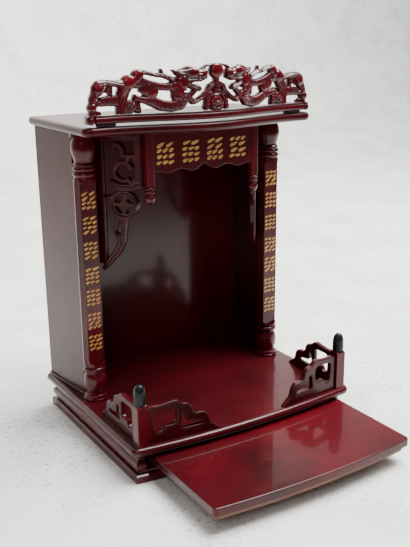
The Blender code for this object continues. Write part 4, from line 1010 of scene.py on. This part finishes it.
def postPiece(label, sign):
    size = fenceSizes
    half, soft = size["postSide"] / 2, size["postSoft"]
    cx, cy = sign * size["postX"], -size["postY"] + shiftY
    top = shelfLow + size["postHeight"]
    rings = []
    for reach, z in ((half, shelfLow), (half, shelfLow + 0.02), (half, top - 0.0024),
                     (half - 0.0003, top - 0.0018), (half - 0.0014, top - 0.0003), (half - 0.0022, top)):
        ring = []
        for x, y, start in ((1, 1, 0), (-1, 1, 90), (-1, -1, 180), (1, -1, 270)):
            ring += arc(cx + x * (reach - soft), cy + y * (reach - soft), soft, start, start + 90, 4)
        rings.append([(x, y, z) for x, y in ring])
    makePiece("fencePost" + label, loft(rings), lacquers["turned"], "post_" + label.lower())
    low, radius, straight = top + gap, size["finialRadius"], size["finialStraight"]
    profile = [(radius - 0.0005, low)] + [(radius, low + z) for z in (0.0005, 0.004, 0.008, straight)]
    for turn in np.linspace(0, math.pi / 2, 14)[1:-1]:
        height = straight + (size["finialHeight"] - straight) * math.sin(turn)
        profile.append((radius * math.cos(turn) ** 0.8, low + height))
    profile.append((0.0004, low + size["finialHeight"]))
    makePiece("finial" + label, turnedShape(profile, cx, cy, 48), slatePaint, "finial_" + label.lower(),
              "finial_green", angle=40.0)


for label, sign in sides:
    postPiece(label, sign)
    wingPiece("wingFront" + label, "wing_front_" + label.lower(), sign, False)
    wingPiece("wingSide" + label, "wing_side_" + label.lower(), sign, True)
print("fences built")

# pads, rail and carving of the crown
crownSizes = {"padHeight": 0.0029, "padLength": 0.023, "padDepth": 0.009, "padX": 0.141, "padSetback": 0.0035,
              "padSoft": 0.0004, "railHeight": 0.0102, "railDepth": 0.0165, "railHalf": 0.1670,
              "setback": 0.0012, "depth": 0.0120, "edgeDepth": 3.4, "boldness": 1.15, "fullness": 0.5,
              "cell": 0.55, "halfLength": 166, "top": 501}
padLow = topSizes["underside"] + topSizes["thickness"] + gap
railLow = padLow + crownSizes["padHeight"] + gap
carvingLow = (railLow + crownSizes["railHeight"] + gap) * 1000
# how far in from its end the rail swells or narrows, and by how much
railBead = [(0.0, 0.38), (0.0008, 0.68), (0.0020, 0.92), (0.0040, 1.08), (0.0055, 1.1), (0.0070, 0.99),
            (0.0084, 0.80), (0.0092, 0.75), (0.0098, 0.78), (0.0104, 0.90), (0.0110, 1.0)]


def padPiece(label, sign):
    size = crownSizes
    cx, half, depth, soft = sign * size["padX"], size["padLength"] / 2, size["padDepth"], size["padSoft"]
    y, high = float(topFront(cx)) + size["padSetback"] + shiftY, padLow + size["padHeight"]
    rings = [[(cx - half + pull, y + pull, z), (cx + half - pull, y + pull, z),
              (cx + half - pull, y + depth - pull, z), (cx - half + pull, y + depth - pull, z)]
             for z, pull in ((padLow, soft), (padLow + soft, 0), (high - soft, 0), (high, soft))]
    makePiece("pad" + label, loft(rings), padFelt, "pad_" + label.lower(), "pad_black")


def railPiece():
    size = crownSizes
    h, depth = size["railHeight"], size["railDepth"]
    section = [*softLine([(0.0022, 0.0), (0.0007, 0.0010), (0.0, 0.0028), (0.0, 0.0052), (0.0007, 0.0072),
                          (0.0018, 0.0082)], 16),
               (0.0019, 0.0086), (0.0008, 0.0089), (0.0006, h - 0.0005), (0.0012, h), (depth - 0.0006, h),
               (depth, h - 0.0006), (depth, 0.0006), (depth - 0.0006, 0.0)]
    stations = [(x - size["railHalf"], squeeze) for x, squeeze in railBead]
    body = size["railHalf"] - railBead[-1][0]
    stations += [(x, 1.0) for x in np.linspace(-body, body, 81)[1:-1]]
    stations += [(size["railHalf"] - x, squeeze) for x, squeeze in railBead[::-1]]
    rings = [[(x, float(topFront(x)) + depth / 2 + (d - depth / 2) * squeeze + shiftY,
               railLow + h / 2 + (z - h / 2) * squeeze) for d, z in section] for x, squeeze in stations]
    makePiece("crownRail", loft(rings, True), lacquers["rail"], "crown_rail", angle=40.0)


for label, sign in sides:
    padPiece(label, sign)
railPiece()

pearl = (0.0, 490.5, 9.2)
ball = (0.0, 450.4, 10.2)
rosette = (-112.4, 450.6, 8.6)
# each member: kind of carving, how far it stands out, and its path
crownMembers = [
    # round lobes standing out of the bodies
    ("bead", 3.2, [(-149.6, 471.8, 7.0), (-148.6, 472.6, 6.6)]),
    ("bead", 3.4, [(-112.4, 478.6, 8.4), (-110.6, 479.6, 8.0)]),
    ("bead", 3.0, [(-101.0, 487.4, 6.4), (-100.0, 488.0, 6.2)]),
    ("bead", 3.0, [(-34.5, 488.6, 7.0), (-32.0, 488.4, 6.6)]),
    ("bead", 2.8, [(-20.5, 485.8, 5.4), (-19.0, 486.4, 5.2)]),
    ("bead", 2.6, [(-49.0, 467.5, 7.6), (-47.6, 466.6, 7.0)]),
    ("bead", 2.4, [(-86.0, 466.6, 7.4), (-84.6, 466.0, 7.0)]),
    # bead, neck and curl at the end
    ("bead", 2.6, [(-159.0, 451.3, 5.4), (-158.6, 451.5, 5.4)]),
    ("leg", 1.0, [(-157.8, 444.5, 4.8), (-151.0, 443.6, 3.4)]),
    ("leg", 1.8, [(-158.2, 455.0, 3.8), (-157.4, 461.5, 4.0), (-153.0, 468.0, 5.6), (-151.4, 473.0, 6.2)]),
    ("plume", 2.8, [(-151.0, 474.2, 6.2), (-149.5, 477.0, 5.6), (-144.0, 479.3, 4.2), (-138.0, 480.0, 3.4),
     (-128.0, 478.4, 3.6), (-119.0, 477.5, 5.0)]),
    ("leg", 1.2, [(-138.6, 470.2, 2.6), (-138.2, 473.0, 2.2), (-134.6, 475.5, 2.4)]),
    ("leg", 1.2, [(-134.4, 477.0, 2.4), (-134.4, 460.0, 2.6)]),
    ("scales", 2.2, [(-152.0, 455.6, 3.2), (-146.0, 457.8, 5.4), (-138.0, 458.6, 6.0), (-130.0, 458.4, 6.2),
     (-122.0, 459.0, 6.5)]),
    # haunch
    ("plume", 3.2, [(-111.8, 480.0, 8.0), (-116.0, 473.0, 7.6), (-120.0, 463.5, 7.0), (-121.8, 454.0, 5.8),
     (-122.3, 444.0, 5.2)]),
    # second lobe and the tail arched over the back
    ("bead", 3.0, [(-100.2, 488.6, 5.3), (-103.5, 483.0, 6.0)]),
    ("plume", 2.2, [(-99.0, 489.8, 4.4), (-93.8, 491.0, 3.0), (-86.8, 489.6, 2.4), (-79.6, 487.2, 2.3),
     (-71.2, 486.8, 2.8), (-65.3, 484.6, 2.4), (-58.0, 481.6, 3.2)]),
    ("leg", 1.0, [(-70.8, 487.5, 2.2), (-72.0, 493.6, 0.9)]),
    # back and shoulder
    ("scales", 2.6, [(-103.0, 479.0, 7.0), (-97.0, 479.5, 6.0), (-89.5, 475.5, 6.4), (-77.5, 473.9, 4.7),
     (-65.6, 472.6, 4.4), (-54.0, 473.8, 6.0)]),
    ("scales", 3.0, [(-91.0, 471.0, 8.2), (-84.0, 467.5, 7.8)]),
    # claw by the rosette, then the belly coil up to the chest
    ("leg", 1.6, [(-104.5, 464.0, 1.2), (-105.0, 457.5, 2.8), (-103.6, 449.0, 4.6)]),
    ("leg", 1.6, [(-101.6, 452.0, 3.6), (-100.6, 445.5, 3.4)]),
    ("scales", 3.0, [(-102.5, 461.0, 3.0), (-97.5, 458.8, 3.8), (-91.4, 457.8, 4.6), (-81.8, 455.4, 6.2),
     (-72.2, 450.8, 6.6), (-60.1, 449.2, 6.6), (-49.5, 451.6, 6.8), (-44.0, 458.6, 6.4), (-50.0, 466.0, 6.4)]),
    ("scales", 2.6, [(-53.0, 474.0, 6.5), (-52.6, 462.0, 6.6)]),
    # head with ear, jaws and whisker
    ("bead", 3.2, [(-47.0, 479.5, 7.6), (-46.0, 474.5, 6.0)]),
    ("plume", 3.0, [(-51.8, 489.2, 3.4), (-45.5, 488.4, 5.6), (-38.0, 490.6, 6.2), (-33.0, 488.6, 5.8),
     (-25.5, 487.2, 5.0), (-18.6, 488.4, 5.0)]),
    ("leg", 1.6, [(-51.0, 489.2, 2.6), (-57.6, 492.2, 0.9)]),
    ("plume", 2.2, [(-40.0, 480.5, 5.5), (-31.0, 481.5, 3.6), (-23.0, 481.4, 3.4), (-16.5, 483.8, 3.2)]),
    ("leg", 1.0, [(-21.0, 492.6, 1.4), (-14.0, 496.8, 1.1), (-7.0, 498.0, 1.1)]),
    # claw below the jaw
    ("plume", 2.0, [(-39.0, 474.5, 3.6), (-34.0, 472.4, 3.2), (-28.0, 470.8, 3.8), (-25.0, 469.6, 3.2)]),
    ("leg", 1.2, [(-29.0, 468.5, 2.6), (-34.0, 463.5, 2.6), (-38.0, 461.0, 3.6)]),
    # branch to the stem, the stem and its leaves
    ("plume", 2.0, [(-41.5, 461.0, 4.4), (-37.0, 458.0, 3.6), (-32.5, 453.6, 3.2), (-27.0, 455.4, 2.8),
     (-20.0, 459.4, 2.8), (-13.0, 465.4, 3.0), (-9.8, 472.0, 2.8), (-6.0, 474.5, 2.8)]),
    ("leg", 1.8, [(0.0, 486.0, 3.6), (0.0, 476.0, 3.4), (0.0, 470.0, 5.2), (0.0, 464.0, 6.4)]),
    ("leg", 1.2, [(-9.0, 462.5, 2.6), (-12.5, 457.0, 3.2)]),
    ("leg", 1.6, [(-13.5, 456.0, 3.4), (-14.6, 446.5, 3.6)]),
]
crownOpenings = [
    [(-151.6, 460.8, 1.6), (-150.6, 459.4, 1.4)],
    [(-145.0, 466.8, 1.2), (-144.6, 471.2, 1.6), (-142.4, 473.6, 1.4), (-138.6, 474.8, 0.8)],
    [(-129.2, 471.4, 2.3), (-129.2, 467.0, 2.4)],
    [(-92.8, 487.0, 1.0), (-84.5, 484.4, 2.2), (-73.8, 481.4, 2.4), (-64.1, 480.2, 1.4)],
    [(-108.2, 469.6, 1.8), (-110.9, 464.9, 2.0), (-108.6, 459.6, 1.0)],
    [(-107.5, 469.6, 2.0), (-100.7, 467.1, 2.0), (-95.2, 464.9, 1.3)],
    [(-70.3, 464.4, 4.2), (-64.0, 461.6, 4.6)],
    [(-32.0, 476.4, 1.0), (-27.0, 476.4, 1.4), (-21.5, 474.9, 2.0), (-16.4, 470.4, 2.3), (-21.5, 465.6, 1.9),
     (-27.0, 462.4, 1.4), (-30.5, 460.8, 0.9)],
    [(-46.0, 466.6, 1.0), (-41.0, 467.2, 1.7), (-36.4, 468.8, 1.2)],
    [(-11.4, 481.0, 2.2), (-9.6, 482.8, 1.6)],
    [(-10.5, 480.5, 2.4), (-7.4, 475.8, 1.4)],
    [(-5.0, 461.6, 0.9), (0.0, 462.4, 1.2)],
]


def crownShape(x, z):
    x = -np.abs(x)
    wood = disc(x, z, *pearl)
    for _, _, path in crownMembers:
        wood = blendShapes(wood, stroke(x, z, path), 0.9)
    wood = np.minimum(np.minimum(wood, disc(x, z, *ball)), disc(x, z, *rosette)) - crownSizes["fullness"] / 2
    for path in crownOpenings:
        wood = np.maximum(wood, -stroke(x, z, path) - crownSizes["fullness"])
    return np.maximum(wood, carvingLow - z)


def crownHeight(x, z):
    # how far the carving stands out of the plane of its rim
    side = -np.abs(x)
    height = np.zeros(x.shape)
    for kind, lift, path in crownMembers:
        near, across, along = strokeParts(side, z, path)
        dome = np.sqrt(np.clip(1 - across**2, 0, 1))
        if kind == "scales":
            row = along / 2.7 + 0.55 * across**2
            local = (across * 1.5 + 0.5 * (np.floor(row) % 2)) % 1 - 0.5
            pattern = 0.75 * (row % 1) - 1.2 * local**2 - 0.25
        elif kind == "plume":
            pattern = 0.50 * np.cos(2 * math.pi * (across * 1.6 + 0.04 * along))
        elif kind == "bead":
            pattern = 0.3 * lift
        else:
            pattern = 0.22 * np.cos(2 * math.pi * along / 4.4)
        height = np.where(near < 0, np.maximum(height, (lift + pattern) * dome), height)
    for spot in (pearl, ball, rosette):
        away = np.hypot(side - spot[0], z - spot[1]) / spot[2]
        dome = 3.6 * np.sqrt(np.clip(1 - away**2, 0, 1))
        if spot != pearl:
            turn = np.arctan2(z - spot[1], side - spot[0])
            petals = 0.5 + 0.5 * np.cos(8 * turn + 3.2 * away)
            dome = dome * (0.74 + 0.26 * petals) - 1.3 * groove(away, 0.42, 0.07)
        height = np.where(away < 1, np.maximum(height, dome), height)
    return height


def crownPlace(x, depth, z):
    return (x / 1000, float(topFront(x / 1000)) + crownSizes["setback"] + depth + shiftY, z / 1000)


def crownFront(x, z):
    rim = 0.7 * (1 - rounding(-crownShape(x, z), 1.4))
    return (crownSizes["edgeDepth"] - crownSizes["boldness"] * crownHeight(x, z) + rim) / 1000


def crownBack(x, z):
    rim = 0.0016 * (1 - rounding(-crownShape(x, z), 2.0))
    return crownSizes["depth"] - rim - 0.0004 * (crownHeight(x, z) < 0.7)


# the last argument paints shade into the low parts of the carving
carvedPiece("crownCarving", crownShape,
            (-crownSizes["halfLength"], crownSizes["halfLength"], carvingLow, crownSizes["top"]),
            crownSizes["cell"], crownPlace, crownFront, crownBack, "crown", "crown", "lacquer_red",
            lambda x, z: np.clip((1.15 - crownHeight(x, z)) * 0.8, 0, 1))
print("crown built")

# gilt strokes: slanted dashes in rows, in place of the inscriptions
giltSizes = {"rise": 0.00035, "sink": 0.00002, "rows": 4, "steps": 9, "lean": 24, "leanPlay": 10,
             "columnCentres": (0.3300, 0.2975, 0.2635, 0.2290, 0.1985, 0.1655, 0.1345),
             "columnField": (0.0205, 0.0240), "headerField": (0.0265, 0.0300),
             "headerCentres": (-0.0590, -0.0205, 0.0165, 0.0530), "headerMiddle": 0.3890}


def addDash(points, faces, cx, cz, length, width, slant, face):
    # a lens-shaped dash with a raised spine
    steps = giltSizes["steps"]
    ts = np.linspace(-1, 1, steps + 1)
    swell = width / 2 * (1 - abs(ts) ** 3.6) * (1 - 0.35 * ts)
    rim = list(zip(length / 2 * ts, swell))[1:-1]
    flat = [(a, b, face) for a, b in rim] + [(a, -b, face) for a, b in rim]
    flat += [(a, 0.0, face - giltSizes["rise"]) for a in length / 2 * ts]
    cosine, sine = math.cos(slant), math.sin(slant)
    base, count = len(points), len(rim)
    points += [(cx + a * cosine - b * sine, y, cz + a * sine + b * cosine) for a, b, y in flat]
    first, last = base + 2 * count, base + 2 * count + steps
    for m in range(count - 1):
        s = first + 1 + m
        faces.append((base + m, base + m + 1, s + 1, s))
        faces.append((base + count + m + 1, base + count + m, s, s + 1))
    faces += [(first, base, first + 1), (base + count, first, first + 1),
              (base + count - 1, last, last - 1), (last, base + 2 * count - 1, last - 1)]
    faces.append((*range(base, base + count), last, *range(base + 2 * count - 1, base + count - 1, -1), first))


def dashRows(points, faces, cx, cz, field, face):
    size, (width, height) = giltSizes, field
    pitch = height / size["rows"]
    for row in range(size["rows"]):
        middle = cz + height / 2 - pitch * (row + 0.5)
        dashes = 3 if random.random() < 0.7 else 2
        share = width / dashes
        lean = math.radians(size["lean"] + random.uniform(-size["leanPlay"], size["leanPlay"]))
        for k in range(dashes):
            x = cx - width / 2 + share * (k + 0.5) + random.uniform(-0.05, 0.05) * share
            z = middle + random.uniform(-0.06, 0.06) * pitch
            length = share * random.uniform(0.90, 1.06)
            addDash(points, faces, x, z, length, pitch * random.uniform(0.46, 0.60), lean, face)


def giltPieces():
    size = giltSizes
    flatFace = shiftY - columnFlats[0][1] - size["sink"]
    headerFace = shiftY - headerSizes["pendantY"] - headerSizes["thickness"] / 2 - size["sink"]
    fields = [(label, [(sign * columnSizes["x"], z) for z in size["columnCentres"]], size["columnField"],
               flatFace) for label, sign in sides]
    fields.append(("Header", [(x, size["headerMiddle"]) for x in size["headerCentres"]], size["headerField"],
                   headerFace))
    for label, spots, field, face in fields:
        points, faces = [], []
        for x, z in spots:
            dashRows(points, faces, x, z, field, face)
        makePiece("giltDashes" + label, (points, faces), giltPaint, angle=60.0, masks=False, weighted=False)


giltPieces()
print("gilt built")

# stage: a pale floor that bends up into the wall behind
stageSizes = {"half": 3.2, "back": 2.6, "wall": 2.2, "bend": 0.8}
stageLook = {"floor": (0.80, 0.80, 0.775), "stain": (0.66, 0.65, 0.61), "speck": (0.30, 0.28, 0.25),
             "shade": (0.10, 0.10, 0.10), "shadeEnd": -1.15, "shadeStart": -0.40, "roughness": 0.85}


def floorMaterial():
    look = stageLook
    material, tree, shader = startMaterial("paleConcrete")
    place = stretchedPlace(tree)
    patch = noiseNode(tree, place, 7.0, 8.0, 0.62)
    tone = mixColour(tree, rampNode(tree, patch, [(0.44, 0.0), (0.66, 1.0)]), look["floor"], look["stain"])
    # grit lies where the floor is smeared
    grit = rampNode(tree, noiseNode(tree, place, 150.0, 4.0, 0.62), [(0.54, 0.0), (0.66, 0.9)])
    smears = rampNode(tree, noiseNode(tree, place, 4.6, 6.0, 0.7), [(0.42, 0.0), (0.56, 1.0)])
    tone = mixColour(tree, mathNode(tree, "MULTIPLY", grit, smears), tone, look["speck"])
    # the floor's colour is painted darker on the near side, a painted shade for where the studio is dark
    split = addNode(tree, "SeparateXYZ")
    feed(tree, place, split.inputs[0])
    fade = addNode(tree, "MapRange", interpolation_type="SMOOTHSTEP")
    for label, value in (("From Min", look["shadeEnd"]), ("From Max", look["shadeStart"]),
                         ("Value", split.outputs["Y"])):
        feed(tree, value, fade.inputs[label])
    feed(tree, mixColour(tree, fade.outputs["Result"], look["shade"], tone), shader["Base Color"])
    shader["Roughness"].default_value = look["roughness"]
    bumpFrom(tree, patch, shader["Normal"], 0.4, 0.004)
    return material


def buildStage():
    half, back, wall, bend = (stageSizes[key] for key in ("half", "back", "wall", "bend"))
    line = [(-half, 0.0), *arc(back - bend, bend, bend, -90, 0, 13), (back, wall)]
    points = [(x, y, z) for x in (-half, half) for y, z in line]
    count = len(line)
    mesh = bpy.data.meshes.new("paleFloor")
    mesh.from_pydata(points, [], [(k, k + count, k + count + 1, k + 1) for k in range(count - 1)])
    for polygon in mesh.polygons:
        polygon.use_smooth = True
    mesh.materials.append(floorMaterial())
    linked("paleFloor", mesh)


lightLook = {"world": (0.94, 0.95, 0.94), "worldDark": (0.12, 0.12, 0.12), "worldStrength": 0.68,
             "worldLean": 0.4}
# each lamp: where it hangs, what it faces, its size and its power
lampLooks = {
    "topSoft": ((0.95, -0.15, 2.6), (0.1, 0.4, 0.0), (2.0, 1.8), 290.0),
    "windowSoft": ((-1.5, -1.7, 1.9), (0.0, 0.0, 0.3), (0.7, 1.0), 16.0),
    "wallWash": ((0.3, 1.1, 2.3), (0.6, 2.7, 0.7), (2.4, 0.6), 75.0),
}


def buildLights():
    look = lightLook
    world = bpy.data.worlds.new("studio")
    bpy.context.scene.world = world
    world.use_nodes = True
    tree = world.node_tree
    sky = tree.nodes["Background"].inputs
    sky["Strength"].default_value = look["worldStrength"]
    # the room is dark on the near side and low down
    split = addNode(tree, "SeparateXYZ")
    feed(tree, addNode(tree, "TexCoord").outputs["Generated"], split.inputs[0])
    lean = mathNode(tree, "MULTIPLY", split.outputs["Z"], look["worldLean"])
    lean = mathNode(tree, "ADD", lean, split.outputs["Y"])
    feed(tree, rampNode(tree, lean, [(0.0, look["worldDark"]), (0.9, look["world"])]), sky["Color"])
    for name, (spot, target, width, power) in lampLooks.items():
        data = bpy.data.lights.new(name, "AREA")
        data.shape = "RECTANGLE"
        data.size, data.size_y = width
        data.energy = power
        lamp = linked(name, data)
        lamp.location = spot
        lamp.rotation_mode = "QUATERNION"
        lamp.rotation_quaternion = (Vector(spot) - Vector(target)).to_track_quat("Z", "Y")


# camera at the angle of the photograph
cameraLook = {"spot": (-0.557, -0.9487 + shiftY, 0.5341), "yaw": 31.963, "pitch": -16.661, "roll": -0.610,
              "focalPixels": 800.32, "longSide": 547}


def buildCamera():
    look = cameraLook
    yaw, pitch, roll = (math.radians(look[key]) for key in ("yaw", "pitch", "roll"))
    forward = Vector((math.sin(yaw) * math.cos(pitch), math.cos(yaw) * math.cos(pitch), math.sin(pitch)))
    level = Vector((math.cos(yaw), -math.sin(yaw), 0))
    above = level.cross(forward)
    right = level * math.cos(roll) + above * math.sin(roll)
    up = -level * math.sin(roll) + above * math.cos(roll)
    data = bpy.data.cameras.new("view")
    data.sensor_fit = "AUTO"
    data.sensor_width = 36.0
    data.lens = look["focalPixels"] * data.sensor_width / look["longSide"]
    data.clip_start, data.clip_end = 0.01, 50
    camera = linked("view", data)
    turn = Matrix((right, up, -forward)).transposed().to_4x4()
    camera.matrix_world = Matrix.Translation(look["spot"]) @ turn
    bpy.context.scene.camera = camera


buildStage()
buildLights()
buildCamera()
print("stage, lights and camera ready")
